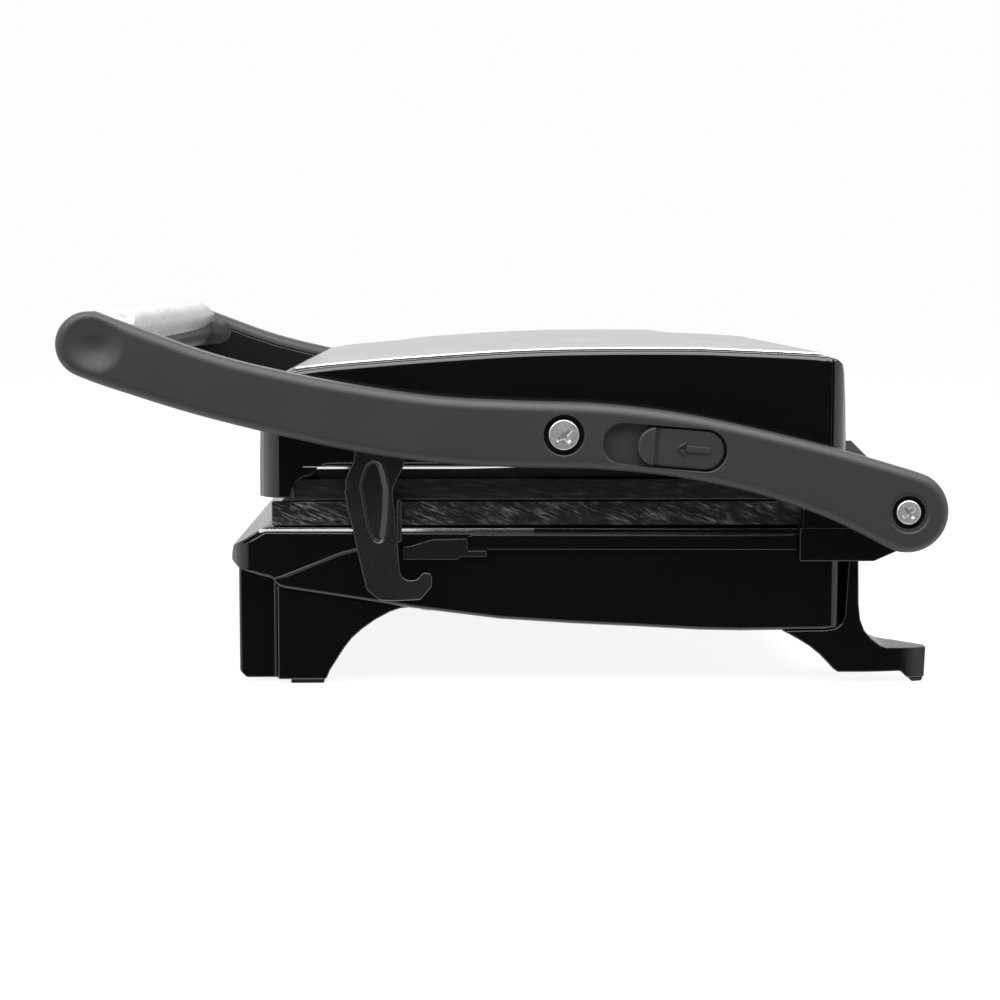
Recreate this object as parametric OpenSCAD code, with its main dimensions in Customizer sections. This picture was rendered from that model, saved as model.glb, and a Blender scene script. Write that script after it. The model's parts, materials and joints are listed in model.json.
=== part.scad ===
// Panini press: a hinged contact grill with a floating upper head between two handle arms.
// Frame: Z up, the handle points to -Y, the hinge is at +Y, the width runs along X.
// The origin is on the table, under the middle of the bounding box.

/* [Width, along X] */
// Width over the outer faces of the two handle arms
width_over_arms = 300; // [299:0.5:304]
// Thickness of one handle arm
arm_thick = 13; // [12.5:0.25:13]
// Width of the upper housing
head_w = 266; // [265:0.5:266]
// Width of the lower housing
base_w = 262; // [261:0.5:262]

/* [Pivots, along Y and Z] */
// Distance of the rear pivot from the middle
rear_pivot_y = 147.3; // [147:0.1:148]
// Height of the rear pivot above the table
rear_pivot_z = 66.4; // [66:0.1:67]
// Distance of the head pivot from the middle
head_pivot_y = 21.3; // [21:0.1:22]
// Height of the head pivot above the table
head_pivot_z = 94.9; // [94.5:0.1:95]
// Distance of the latch pivot from the middle
latch_pivot_y = -46; // [-47:0.5:-45]
// Height of the latch pivot above the table
latch_pivot_z = 98; // [97:0.5:99]

/* [Fits] */
// Radius of the shoulder of the rear pivot screws
rear_pin_r = 3.5; // [3:0.1:3.6]
// Radius of the shoulder of the head pivot screws
head_pin_r = 4; // [3.5:0.1:4]
// Radius of the shank of the latch rivet
latch_pin_r = 2.5; // [2:0.1:2.6]
// Radial clearance of a running fit
running_gap = 0.06; // [0.03:0.01:0.1]
// Gap between parts that move past each other
move_gap = 0.4; // [0.3:0.1:0.5]

/* [Shells] */
// Wall of the plastic housings
wall = 2.5; // [2:0.1:2.6]
// Thickness of the steel top cover
cover_t = 1; // [0.8:0.1:1.2]
// Thickness of the latch plate
latch_t = 1.5; // [1.2:0.1:1.6]

/* [Grill plates] */
// Distance from one rib to the next
rib_pitch = 12; // [10:1:14]
// Height of a rib
rib_h = 3.4; // [2.5:0.1:3.6]

/* [Slide button] */
// Length of the button's recess
slot_len = 45.2; // [45:0.1:46]
// Height of the button's recess
slot_h = 15.4; // [15:0.1:15.6]
// Length of the button
button_len = 32.8; // [32:0.1:33]
// Angle of the recess below the horizontal, towards the rear
slot_tilt = 4.8; // [4:0.1:5]

/* [Hidden] */
$fn = 48;
// Overlap that keeps joined solids joined
e = 0.01;

// Colours
GLOSS_BLACK = [0.03, 0.03, 0.035];
MATT_BLACK = [0.13, 0.13, 0.135];
DARK_PLASTIC = [0.05, 0.05, 0.055];
BRIGHT_STEEL = [0.78, 0.78, 0.79];
SATIN_STEEL = [0.7, 0.7, 0.71];
ZINC = [0.72, 0.73, 0.74];
CAST_GREY = [0.2, 0.2, 0.205];
RUBBER = [0.04, 0.04, 0.04];
BRASS = [0.78, 0.62, 0.3];
CERAMIC = [0.9, 0.88, 0.82];

// Planes across the width
arm_out = width_over_arms / 2;
arm_in = arm_out - arm_thick;
arm_skin = 2.8;
head_x = head_w / 2;
base_x = base_w / 2;
ear_out = arm_in - 0.5;
spacer_out = arm_in - move_gap;
plate_x = 129.5;
cap_t = 2;
recess_floor = arm_out - 3;
head_under = recess_floor + 0.3;

// Handle arm: middle line and half height at each station, front to rear
ARM = [
    [-150.3, 127.6, 12], [-138.5, 123.2, 12], [-110, 113.6, 11.4],
    [-81, 106.3, 11.5], [-52, 100.5, 11.9], [-23.6, 96.6, 12],
    [5, 95, 12.1], [34, 94.1, 11.9], [63.3, 90.9, 11.6],
    [92.4, 84.9, 11.5], [121.7, 76.3, 12.7], [rear_pivot_y, rear_pivot_z, 15]
];
GRIP = [-150.3, 127.6];
REAR_PIVOT = [rear_pivot_y, rear_pivot_z];
HEAD_PIVOT = [head_pivot_y, head_pivot_z];
LATCH_PIVOT = [latch_pivot_y, latch_pivot_z];
SLOT = [58, 90.4];

// Side outline of the upper housing's roof, front to rear
ROOF = [
    [-88, 112.5], [-84.5, 115.6], [-78.8, 117.2], [-67.8, 118.9], [-53, 120.2], [-38.4, 121.4],
    [-23.7, 122.5], [-8.9, 123.5], [5.8, 124.3], [20.5, 124.8], [45, 125.1], [72, 125],
    [101.7, 123.8], [119.5, 122.8]
];
HEAD_FRONT = [[-91.4, 70.6], [-90.9, 98], [-90.2, 107]];
HEAD_REAR = [[123.6, 121.7], [125.8, 119.4], [126.6, 114], [128, 89], [128, 73]];
// Lower edge of the upper housing's side walls, rear to front
HEAD_CUT = [
    [121, 73], [118, 79.5], [112, 82.2], [-68.5, 82.2], [-71.5, 78.9], [-74.6, 78.2],
    [-77, 76.4], [-78.6, 73.8], [-79.3, 70.6]
];
HEAD_INSIDE = [
    [-88.9, 60], [-88.4, 98], [-87.6, 106], [-85.6, 110.8], [-82.8, 113.2], [-78, 114.6],
    [-53, 117.6], [-23.7, 119.9], [-8.9, 120.9], [20.5, 122.2], [45, 122.5], [72, 122.4],
    [101.7, 121.2], [118.4, 120.2], [121.8, 119], [123.2, 116.6], [124.1, 112], [125.5, 89],
    [125.5, 60]
];

// Underside of the lower housing, rear to front
UNDERSIDE = [
    [120, 20.3], [88.3, 20], [73.3, 20.3], [50.8, 21.6], [25, 22.9], [-1.5, 24.7], [-16.5, 26.6],
    [-35.1, 29], [-46.3, 30.8], [-61.1, 33.1], [-76, 35.4]
];
BASE_REAR = [[121, 58.6], [128.9, 57.2], [128.8, 46.8], [127.7, 26], [126.6, 22.6], [124.4, 20.9]];
BASE_FRONT = [
    [-82.3, 36.4], [-84.6, 37.6], [-86.4, 40.1], [-90.1, 40.9], [-98.2, 43.6], [-102.1, 46.9],
    [-101.9, 51.8], [-88.8, 59.6]
];
BASE_INSIDE = [
    [-86, 56.6], [125.9, 54.7], [125.8, 46.8], [124.7, 10], [-76, 10], [-81.5, 40.4], [-88, 43.9],
    [-95.8, 46.4], [-98.8, 48.4], [-98.6, 50.3]
];
// Rear edge of the front leg and front edge of the rear leg, from the housing down
FRONT_LEG_CURVE = [
    [-38.8, 28.6], [-42.6, 27.3], [-48.2, 24.3], [-53, 20.9], [-56.8, 17.5], [-59.8, 13.7],
    [-62.4, 9.6], [-65.1, 5.4], [-66.6, 1.9]
];
REAR_LEG_CURVE = [
    [104, 20.1], [107.1, 18.5], [110.8, 16.4], [114.6, 14], [118.4, 10.9], [121.1, 8.2],
    [123.4, 5.6], [125.3, 4.2]
];
REAR_TOE = [
    [149.4, 4.2], [150.9, 2.6], [152.3, 1.5], [158.9, 1.5], [159.4, 13.2], [143.6, 13.7],
    [140.9, 14.6], [137.9, 16.9], [135.2, 20], [133.6, 24.1], [132.9, 30], [132.5, 52]
];
FRONT_LEG_X = [98, 129];
REAR_LEG_X = [104, 130.5];
BASE_SCREW_AT = [[124.3, -28, 28], [124.3, 36, 22.4], [124.3, 98, 20.2]];
// Height at which the screw posts run into the rim
POST_TOP = 57.2;
PLATE_SCREW_AT = [[108, -50], [108, 90]];
LAMP_X = 20;
LAMP_Z = 98;
INLET = [-60, 38];
DRAIN_Y = [-84, -80.5];
drain_w = 28;
// Tubular elements: runs along Y at both LOOP_X, joined by half rings
LOOP_X = [30, 90];
LOOP_FRONT = -38;
LOOP_REAR = 70;
LOOP_END = 100;
tube_r = 3.2;
// Inner plane of the storage latch
latch_x = head_x + 1.3;
// Wall of the pivot bushes
bush_wall = 1;
// Front end of the lock bar along the recess, and the return spring ahead of it
lock_bar_front = -12;
spring_x = arm_out - 8.4;
spring_gap = 0.5;
coil_r = 2;
// Outline of the wire guard
GUARD = [
    [132, 50], [132, 72], [141.5, 84], [148.4, 84], [161, 71.6], [161.2, 60], [155.5, 51.2], [141, 50]
];

// ---------------------------------------------------------------- helpers

function reversed(p) = [for (i = [len(p) - 1 : -1 : 0]) p[i]];

function raised(p, dz) = [for (q = p) [q[0], q[1] + dz]];

function arc(c, r, a0, a1, n) =
    [for (i = [0 : n]) let (a = a0 + (a1 - a0) * i / n) [c[0] + r * cos(a), c[1] + r * sin(a)]];

// Point between p1 and p2 on a smooth curve through four points
function curve_point(p0, p1, p2, p3, t) =
    0.5 * (2 * p1 + (p2 - p0) * t + (2 * p0 - 5 * p1 + 4 * p2 - p3) * t * t
    + (3 * p1 - p0 - 3 * p2 + p3) * t * t * t);

// Smooth curve through all the points, with n steps from each to the next
function smooth(p, n) = concat(
    [for (i = [0 : len(p) - 2]) for (k = [0 : n - 1])
        curve_point(p[max(i - 1, 0)], p[i], p[i + 1], p[min(i + 2, len(p) - 1)], k / n)],
    [p[len(p) - 1]]);

// Direction of a curve at its point i, in degrees
function heading(p, i) =
    let (d = p[min(i + 1, len(p) - 1)] - p[max(i - 1, 0)]) atan2(d[1], d[0]);

// Edge of the arm: the middle line moved sideways by the half height less the inset
function arm_edge(p, side, inset) =
    [for (i = [1 : len(p) - 2]) let (a = heading(p, i) + 90 * side, h = p[i][2] - inset)
        [p[i][0] + h * cos(a), p[i][1] + h * sin(a)]];

// A shape in the Y-Z plane, extruded along +X from x0 to x1
module along_x(x0, x1) {
    translate([x0, 0, 0])
        rotate([90, 0, 90])
            linear_extrude(x1 - x0)
                children();
}

// A shape in the X-Z plane, extruded along +Y from y0 to y1
module along_y(y0, y1) {
    translate([0, y1, 0])
        rotate([90, 0, 0])
            linear_extrude(y1 - y0)
                children();
}

// A cylinder along X at a point of the Y-Z plane
module rod_x(x0, x1, at, r) {
    translate([x0, at[0], at[1]])
        rotate([0, 90, 0])
            cylinder(h = x1 - x0, r = r);
}

module both_sides() {
    children();
    mirror([1, 0, 0])
        children();
}

// Plan outline with rounded corners: r0 at the front, r1 at the rear
module rounded_plan(half_w, y0, y1, r0, r1) {
    polygon(concat(
        arc([half_w - r1, y1 - r1], r1, 0, 90, 8),
        arc([r1 - half_w, y1 - r1], r1, 90, 180, 8),
        arc([r0 - half_w, y0 + r0], r0, 180, 270, 8),
        arc([half_w - r0, y0 + r0], r0, 270, 360, 8)));
}

module stadium(length, height) {
    r = height / 2;
    polygon(concat(
        arc([length / 2 - r, 0], r, -90, 90, 16),
        arc([r - length / 2, 0], r, 90, 270, 16)));
}

module arm_outline(inset) {
    p = smooth(ARM, 5);
    rear_a = heading(p, len(p) - 1);
    front_a = heading(p, 0);
    polygon(concat(
        arm_edge(p, 1, inset),
        arc(REAR_PIVOT, ARM[len(ARM) - 1][2] - inset, rear_a + 84, rear_a - 84, 24),
        reversed(arm_edge(p, -1, inset)),
        arc(GRIP, ARM[0][2] - inset, front_a - 92, front_a - 268, 24)));
}

// Slide button frame: local x runs along the recess, towards the rear
module slot_frame() {
    translate(SLOT)
        rotate(-slot_tilt)
            children();
}

// Cross-recess screw head and shank along X: under_x is the underside of the head
module pan_screw_x(at, under_x, head_r, shoulder_r, shoulder_x, thread_r, tip_x) {
    difference() {
        union() {
            rod_x(under_x, under_x + cap_t, at, head_r);
            rod_x(shoulder_x, under_x + e, at, shoulder_r);
            rod_x(tip_x, shoulder_x + e, at, thread_r);
        }
        translate([under_x + cap_t - 1.2, at[0], at[1]])
            for (a = [45, 135])
                rotate([a, 0, 0])
                    translate([0, -0.55 * head_r, -0.11 * head_r])
                        cube([3, 1.1 * head_r, 0.22 * head_r]);
    }
}

// ---------------------------------------------------------------- lower housing and stand

module base_outline() {
    polygon(concat(BASE_REAR, UNDERSIDE, BASE_FRONT));
}

module lower_housing() {
    color(GLOSS_BLACK)
    difference() {
        union() {
            difference() {
                intersection() {
                    along_x(-base_x, base_x) base_outline();
                    linear_extrude(80) rounded_plan(base_x, -102.2, 128.9, 5, 6.5);
                }
                intersection() {
                    along_x(-base_x, base_x) polygon(BASE_INSIDE);
                    linear_extrude(80)
                        rounded_plan(base_x - wall, -102.2 + wall, 128.9 - wall, 3, 4);
                }
            }
            both_sides()
                for (s = BASE_SCREW_AT)
                    translate([s[0], s[1], s[2] + 3.8])
                        cylinder(h = POST_TOP - s[2] - 3.8, r = 4);
            translate([-drain_w / 2 - 2, DRAIN_Y[0] - 1.5, 38])
                cube([drain_w + 4, DRAIN_Y[1] - DRAIN_Y[0] + 2.2, 19]);
        }
        // grease drain to the drip tray
        translate([-drain_w / 2, DRAIN_Y[0], 30])
            cube([drain_w, DRAIN_Y[1] - DRAIN_Y[0], 40]);
        // opening for the grill plate's skirt
        translate([-119, -77, 50])
            cube([238, 190, 20]);
        both_sides()
            for (s = BASE_SCREW_AT)
                translate([s[0], s[1], s[2]])
                    cylinder(h = 16, r = 1.4);
        translate([INLET[0], 120, INLET[1]])
            rotate([-90, 0, 0])
                cylinder(h = 12, r = 6);
    }
}

module bottom_cover() {
    under = concat([[123.6, 22.2]], raised(UNDERSIDE, 0.8), [[-79.6, 37.2]]);
    color(DARK_PLASTIC)
    difference() {
        along_x(wall + 0.3 - base_x, base_x - wall - 0.3)
            polygon(concat(under, reversed(raised(under, 2))));
        for (y = [-40, 20, 80])
            for (i = [-5 : 5])
                translate([i * 14 - 3, y - 14, 10])
                    cube([6, 28, 40]);
        both_sides()
            for (s = BASE_SCREW_AT)
                translate([s[0], s[1], s[2] - 5])
                    cylinder(h = 14, r = 1.8);
    }
}

module base_screws() {
    color(ZINC)
    both_sides()
        for (s = BASE_SCREW_AT)
            translate([s[0], s[1], s[2] - 0.4]) {
                cylinder(h = 1, r = 2.9);
                cylinder(h = 13, r = 1.4);
            }
}

module side_rail() {
    color(GLOSS_BLACK)
    along_x(base_x, base_x + 2.4)
        polygon([[-13.4, 51.2], [109, 50.8], [109, 55.4], [107.8, 56.4], [-12, 56.8], [-13.4, 56.2]]);
}

module front_leg() {
    x0 = FRONT_LEG_X[0];
    x1 = FRONT_LEG_X[1];
    front = -99.4;
    // the front of the leg stands back from its side face
    step = 4.5;
    corner = 1.5;
    top = concat(
        [[-99.4, 44.6], [-98.2, 43.6], [-90.1, 40.9], [-86.4, 40.1], [-84.6, 37.6], [-82.3, 36.4]],
        reversed([for (q = UNDERSIDE) if (q[0] < -35) q]));
    color(GLOSS_BLACK) {
        difference() {
            intersection() {
                along_x(x0, x1)
                    polygon(concat([[front + 2.6, 1.9], [front, 4.4]], top, FRONT_LEG_CURVE));
                linear_extrude(60)
                    polygon(concat(
                        [[x0, front]],
                        arc([x1 - step - corner, front + corner], corner, -90, 0, 6),
                        [[x1 - step, -85.8], [x1, -84.4], [x1, -30], [x0, -30]]));
            }
            along_x(x0 - 1, x1 - wall - 4)
                polygon([
                    [-96.6, 4.6], [-69, 4.6], [-62.5, 14.5], [-56, 21.5], [-47, 27.2], [-61, 30.4],
                    [-76, 32.7], [-84.6, 34.6], [-88.6, 38.2], [-96.6, 41]
                ]);
        }
        // runner for the drip tray
        translate([x0 - 6, front + 2.8, 22.4])
            cube([6 + e, 30, 2.2]);
    }
}

module rear_leg() {
    x0 = REAR_LEG_X[0];
    x1 = REAR_LEG_X[1];
    side = concat(
        [[128.9, 52], [128.8, 46.8], [127.7, 26], [126.6, 22.6], [124.4, 20.9], [120, 20.3]],
        REAR_LEG_CURVE, REAR_TOE);
    color(GLOSS_BLACK)
    intersection() {
        along_x(x0, x1) polygon(side);
        linear_extrude(60)
            polygon([[x1, 100], [x1, 160], [x1 - 4, 160], [x0, 143], [x0, 100]]);
    }
}

module foot_pads() {
    color(RUBBER)
    both_sides() {
        translate([102, -80, 0])
            cube([24, 12.4, 1.9]);
        along_x(125, 129.8)
            polygon([[152.9, 1.5], [158.6, 1.5], [157.8, 0], [154, 0]]);
    }
}

// Guard that carries the wires of the upper head past the pivot line
module wire_guard() {
    color(SATIN_STEEL)
    difference() {
        union() {
            along_x(-20, 20) polygon(GUARD);
            translate([-16, 129, 40])
                cube([32, 12, 18]);
        }
        rod_x(-17.5, 17.5, REAR_PIVOT, 12.5);
        // duct from the housing to the barrel
        translate([-10, 120, 44])
            cube([20, 24, 11.6]);
    }
}

module hinge_bracket() {
    color(GLOSS_BLACK)
    difference() {
        along_x(base_x, ear_out)
            polygon(concat(
                [[134.6, 59.4], [109.4, 59.4], [109.4, 46.9], [137.2, 46.9], [147, 51.2]],
                arc(REAR_PIVOT, 12.6, -68, 172, 24)));
        rod_x(base_x - 1, ear_out + 1, REAR_PIVOT, 2.5);
    }
}

module rear_pivot_screws() {
    color(ZINC)
    both_sides()
        pan_screw_x(REAR_PIVOT, head_under, 4.5, rear_pin_r, ear_out, 2.5, base_x - 1);
}

module latch_catch() {
    color(DARK_PLASTIC)
    along_x(base_x, base_x + 3)
        polygon([
            [-37.6, 47.5], [-17.2, 47.5], [-16.4, 48.6], [-6.4, 48.6], [-6.4, 51], [-13.6, 51],
            [-13.6, 55.6], [-17.5, 55.4], [-26.8, 55.2], [-34.6, 52.8], [-37.6, 52.4]
        ]);
}

module cord_inlet() {
    y0 = 128.9 - wall - 1.4;
    color(RUBBER)
    translate([INLET[0], y0, INLET[1]])
        rotate([-90, 0, 0])
            rotate_extrude()
                polygon([
                    [4, 0], [8, 0], [8, 1.2], [6, 1.2], [6, 4.1], [8.6, 4.1], [8.6, 5.4],
                    [6.6, 9], [4, 9]
                ]);
}

module drip_tray() {
    front = -98.4;
    color(DARK_PLASTIC)
    difference() {
        union() {
            translate([-88, front, 7])
                cube([176, 34, 18.4]);
            translate([-96.4, front, 25])
                cube([192.8, 34, 1.8]);
            // lip to pull it by
            translate([-25, front - 3.4, 20])
                cube([50, 3.4 + e, 2.4]);
        }
        translate([-85.8, front + 2.2, 9.2])
            cube([171.6, 29.6, 30]);
    }
}

// ---------------------------------------------------------------- grill plates and heating

// Rib outlines across the plate, from a base height to a top height
module rib_row(z_base, z_top) {
    half = rib_pitch / 4;
    n = floor((plate_x - 12) / rib_pitch);
    for (i = [-n : n - 1])
        translate([(i + 0.5) * rib_pitch, 0])
            polygon([[-half, z_base], [half, z_base], [half - 1, z_top], [1 - half, z_top]]);
}

module lower_grill_plate() {
    y0 = -86.4;
    y1 = 119;
    top = 68.9;
    slab = [59.9, 64.9];
    color(CAST_GREY)
    difference() {
        union() {
            translate([-plate_x, y0, slab[0]])
                cube([2 * plate_x, y1 - y0, slab[1] - slab[0]]);
            both_sides()
                translate([plate_x - 3, y0, slab[1] - e])
                    cube([3, y1 - y0, top - slab[1] + e]);
            translate([-plate_x, y1 - 3, slab[1] - e])
                cube([2 * plate_x, 3, top - slab[1] + e]);
            along_y(y0 + 14, y1 - 8) rib_row(slab[1] - e, slab[1] + rib_h);
            // skirt that drops into the rim
            translate([-118, -76, 54])
                cube([236, 188, slab[0] - 54 + e]);
        }
        translate([-115, -73, 50])
            cube([230, 182, slab[0] - 50]);
        // drain to the drip tray
        translate([-drain_w / 2, DRAIN_Y[0], 50])
            cube([drain_w, DRAIN_Y[1] - DRAIN_Y[0], 20]);
    }
}

module upper_grill_plate() {
    y0 = -78.4;
    y1 = 119;
    bottom = 69.4;
    slab = [73.4, 77.4];
    color(CAST_GREY)
    difference() {
        union() {
            translate([-plate_x, y0, slab[0]])
                cube([2 * plate_x, y1 - y0, slab[1] - slab[0]]);
            both_sides()
                translate([plate_x - 3, y0, bottom])
                    cube([3, y1 - y0, slab[0] - bottom + e]);
            translate([-plate_x, y1 - 3, bottom])
                cube([2 * plate_x, 3, slab[0] - bottom + e]);
            along_y(y0 + 6, y1 - 8) rib_row(slab[0] + e, slab[0] - rib_h);
            translate([-126.5, y0 + 3, slab[1] - e])
                cube([253, y1 - y0 - 6, 4.4]);
            both_sides()
                for (s = PLATE_SCREW_AT)
                    translate([s[0], s[1], slab[1] - e])
                        cylinder(h = 8, r = 5);
        }
        difference() {
            translate([-123.5, y0 + 6, slab[1]])
                cube([247, y1 - y0 - 12, 10]);
            both_sides()
                for (s = PLATE_SCREW_AT)
                    translate([s[0], s[1], slab[1] - 1])
                        cylinder(h = 12, r = 5);
        }
        both_sides()
            for (s = PLATE_SCREW_AT)
                translate([s[0], s[1], 60]) {
                    cylinder(h = 30, r = 2.1);
                    cylinder(h = 15.4, r = 4.3);
                }
    }
}

module plate_screws() {
    color(ZINC)
    both_sides()
        for (s = PLATE_SCREW_AT)
            translate([s[0], s[1], 73.5]) {
                difference() {
                    cylinder(h = 1.9, r = 3.9);
                    for (a = [0, 90])
                        rotate(a)
                            translate([-2.4, -0.5, -e])
                                cube([4.8, 1, 1.1]);
                }
                cylinder(h = 22, r = 1.8);
            }
}

module half_ring() {
    rotate_extrude(angle = 180)
        translate([30, 0])
            circle(tube_r);
}

module heating_loop(z) {
    both_sides() {
        for (run = [[LOOP_X[0], LOOP_REAR], [LOOP_X[1], LOOP_END]])
            translate([run[0], LOOP_FRONT, z])
                rotate([-90, 0, 0])
                    cylinder(h = run[1] - LOOP_FRONT, r = tube_r);
        translate([60, LOOP_FRONT, z])
            rotate(180)
                half_ring();
    }
    translate([0, LOOP_REAR, z])
        half_ring();
}

module lower_heating_element() {
    color(ZINC)
    heating_loop(56.4);
}

module upper_heating_element() {
    color(ZINC)
    heating_loop(80.8);
}

// Strap over each run of an element; dir is the side of the plate that the element is on
module element_clamps(z_plate, dir) {
    for (x = [-90, -30, 30, 90])
        translate([x, 0, z_plate])
            along_y(10, 20)
                polygon([for (q = [
                    [-6, 0], [-6, 8], [6, 8], [6, 0], [4.6, 0], [4.6, 6.8], [-4.6, 6.8], [-4.6, 0]])
                    [q[0], dir * q[1]]]);
}

module lower_element_clamps() {
    color(SATIN_STEEL)
    element_clamps(59.9, -1);
}

module upper_element_clamps() {
    color(SATIN_STEEL)
    element_clamps(77.4, 1);
}

module lower_reflector() {
    color(BRIGHT_STEEL)
    difference() {
        translate([-114, -72, 49])
            cube([228, 180, 3]);
        translate([-113, -71, 49.8])
            cube([226, 178, 4]);
        translate([0, 20, 40])
            cylinder(h = 20, r = 10);
    }
}

module upper_reflector() {
    color(BRIGHT_STEEL)
    difference() {
        translate([-122, -74, 86])
            cube([244, 186, 3]);
        translate([-121, -73, 86.8])
            cube([242, 184, 4]);
        both_sides()
            for (s = PLATE_SCREW_AT)
                translate([s[0], s[1], 80])
                    cylinder(h = 12, r = 2.4);
    }
}

module thermostat() {
    color(CERAMIC) {
        translate([0, 20, 46])
            cylinder(h = 13.9, r = 8);
        translate([-3, 11, 43])
            cube([6, 18, 3.2]);
    }
}

module thermal_fuse() {
    color(BRASS) {
        translate([40, 100, 44])
            rotate([0, 90, 0])
                cylinder(h = 12, r = 2.4);
        translate([32, 100, 44])
            rotate([0, 90, 0])
                cylinder(h = 28, r = 0.7);
    }
}

module terminal_block() {
    color(CERAMIC)
    difference() {
        translate([-40, 96, 23.4])
            cube([34, 12, 12]);
        for (i = [0 : 2])
            translate([-34 + 11 * i, 102, 30])
                cylinder(h = 10, r = 2.2);
    }
}

// A run of straight wire lengths with round corners
module wire(points, r) {
    for (i = [0 : len(points) - 2]) {
        d = points[i + 1] - points[i];
        translate(points[i])
            rotate([0, acos(d[2] / norm(d)), atan2(d[1], d[0])])
                cylinder(h = norm(d), r = r, $fn = 24);
    }
    for (i = [1 : len(points) - 2])
        translate(points[i])
            sphere(r, $fn = 24);
}

module base_wires() {
    color([0.75, 0.2, 0.15]) {
        wire([[-30, 95.8, 30], [-30, 80, 30], [-2, 40, 42], [-2, 29.5, 44.4]], 1.1);
        wire([[-14, 95.8, 29], [-14, 86, 29], [20, 90, 40], [31.4, 99.6, 43.8]], 1.1);
    }
}

// ---------------------------------------------------------------- handle

module handle_arm(has_button) {
    color(MATT_BLACK)
    difference() {
        union() {
            difference() {
                along_x(arm_in, arm_out) arm_outline(0);
                along_x(arm_in - 1, arm_out - arm_skin) arm_outline(wall);
            }
            rod_x(arm_in + 2.3, arm_out - 1, HEAD_PIVOT, 9);
            rod_x(arm_in + 2.3, arm_out - 1, REAR_PIVOT, 9.5);
            if (has_button)
                along_x(arm_out - 5.6, arm_out - arm_skin + e) slot_frame() stadium(49, 18);
        }
        rod_x(arm_in - 1, arm_out + 1, HEAD_PIVOT, head_pin_r + bush_wall);
        rod_x(recess_floor, arm_out + 1, HEAD_PIVOT, 7.4);
        rod_x(arm_in - 1, arm_out + 1, REAR_PIVOT, rear_pin_r + bush_wall);
        rod_x(recess_floor, arm_out + 1, REAR_PIVOT, 6.1);
        rod_x(arm_out - 0.6, arm_out + 1, REAR_PIVOT, 7.4);
        if (has_button) {
            along_x(arm_out - 3.2, arm_out + 1) slot_frame() stadium(slot_len, slot_h);
            along_x(arm_in, arm_out) slot_frame() translate([0.9, 0]) square([21, 6.2], center = true);
        }
    }
}

module arm_cover() {
    color(DARK_PLASTIC)
    difference() {
        along_x(arm_in, arm_in + 2) arm_outline(wall + 0.3);
        rod_x(arm_in - 1, arm_in + 3, HEAD_PIVOT, head_pin_r + bush_wall + 0.3);
        rod_x(arm_in - 1, arm_in + 3, REAR_PIVOT, rear_pin_r + bush_wall + 0.3);
    }
}

module pivot_bushes() {
    color(BRASS)
    both_sides()
        for (b = [[HEAD_PIVOT, head_pin_r], [REAR_PIVOT, rear_pin_r]])
            difference() {
                rod_x(arm_in, recess_floor, b[0], b[1] + bush_wall);
                rod_x(arm_in - 1, arm_out, b[0], b[1] + running_gap);
            }
}

// Section of the grip, swollen by t
module grip_section(t) {
    polygon(concat(
        arc(GRIP, 10.6 + t, 262, 96, 20),
        [[-146, 138.9 + t]],
        arc([-141.6, 133.9], 4.9 + t, 86, 0, 8),
        [[-136.9 + t, 128.5]],
        arc([-143.6, 126.6], 7 + t, -10, -82, 8)));
}

module grip_bar() {
    color(MATT_BLACK)
    difference() {
        along_x(-arm_in, arm_in) grip_section(0);
        rod_x(-arm_in - 1, arm_in + 1, GRIP + [3.5, 0.4], 5);
    }
}

module grip_core() {
    color(ZINC)
    difference() {
        rod_x(0.5 - arm_in, arm_in - 0.5, GRIP + [3.5, 0.4], 5);
        rod_x(-arm_in, arm_in, GRIP + [3.5, 0.4], 4);
    }
}

module grip_cover() {
    color(SATIN_STEEL)
    along_x(0.2 - arm_in, arm_in - 0.2)
        intersection() {
            difference() {
                grip_section(1);
                grip_section(0.02);
            }
            polygon([[-170, 121], [-130, 131.6], [-130, 145], [-170, 145]]);
        }
}

module slide_button() {
    centre = (slot_len - button_len) / 2 - 0.3;
    x_face = arm_out - 0.9;
    color(MATT_BLACK)
    difference() {
        union() {
            along_x(arm_out - 2.8, x_face)
                slot_frame() translate([centre, 0]) stadium(button_len, slot_h - 0.8);
            along_x(x_face - e, arm_out - 0.2)
                slot_frame() translate([centre - 11.6, 0]) square([4.6, 11], center = true);
            along_x(arm_out - 6.1, arm_out - 2.8 + e)
                slot_frame() translate([centre, 0]) square([10, 5.4], center = true);
        }
        // generic arrow: shaft and head, towards the front
        along_x(x_face - 0.4, arm_out)
            slot_frame() translate([centre + 3, 0]) {
                square([12, 0.9], center = true);
                polygon([[-9.6, 0], [-5.4, 2.1], [-5.4, -2.1]]);
            }
    }
}

module lock_bar() {
    color(ZINC)
    along_x(arm_out - 8.6, arm_out - 6.1)
        slot_frame()
            polygon([
                [lock_bar_front, -2.5], [44, -2.5], [47, 0], [47, 2.5], [lock_bar_front, 2.5]
            ]);
}

// Wire centre line of the return spring at angle a
function coil_at(a, turns, length, r) = [length * a / (360 * turns), r * cos(a), r * sin(a)];

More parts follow.
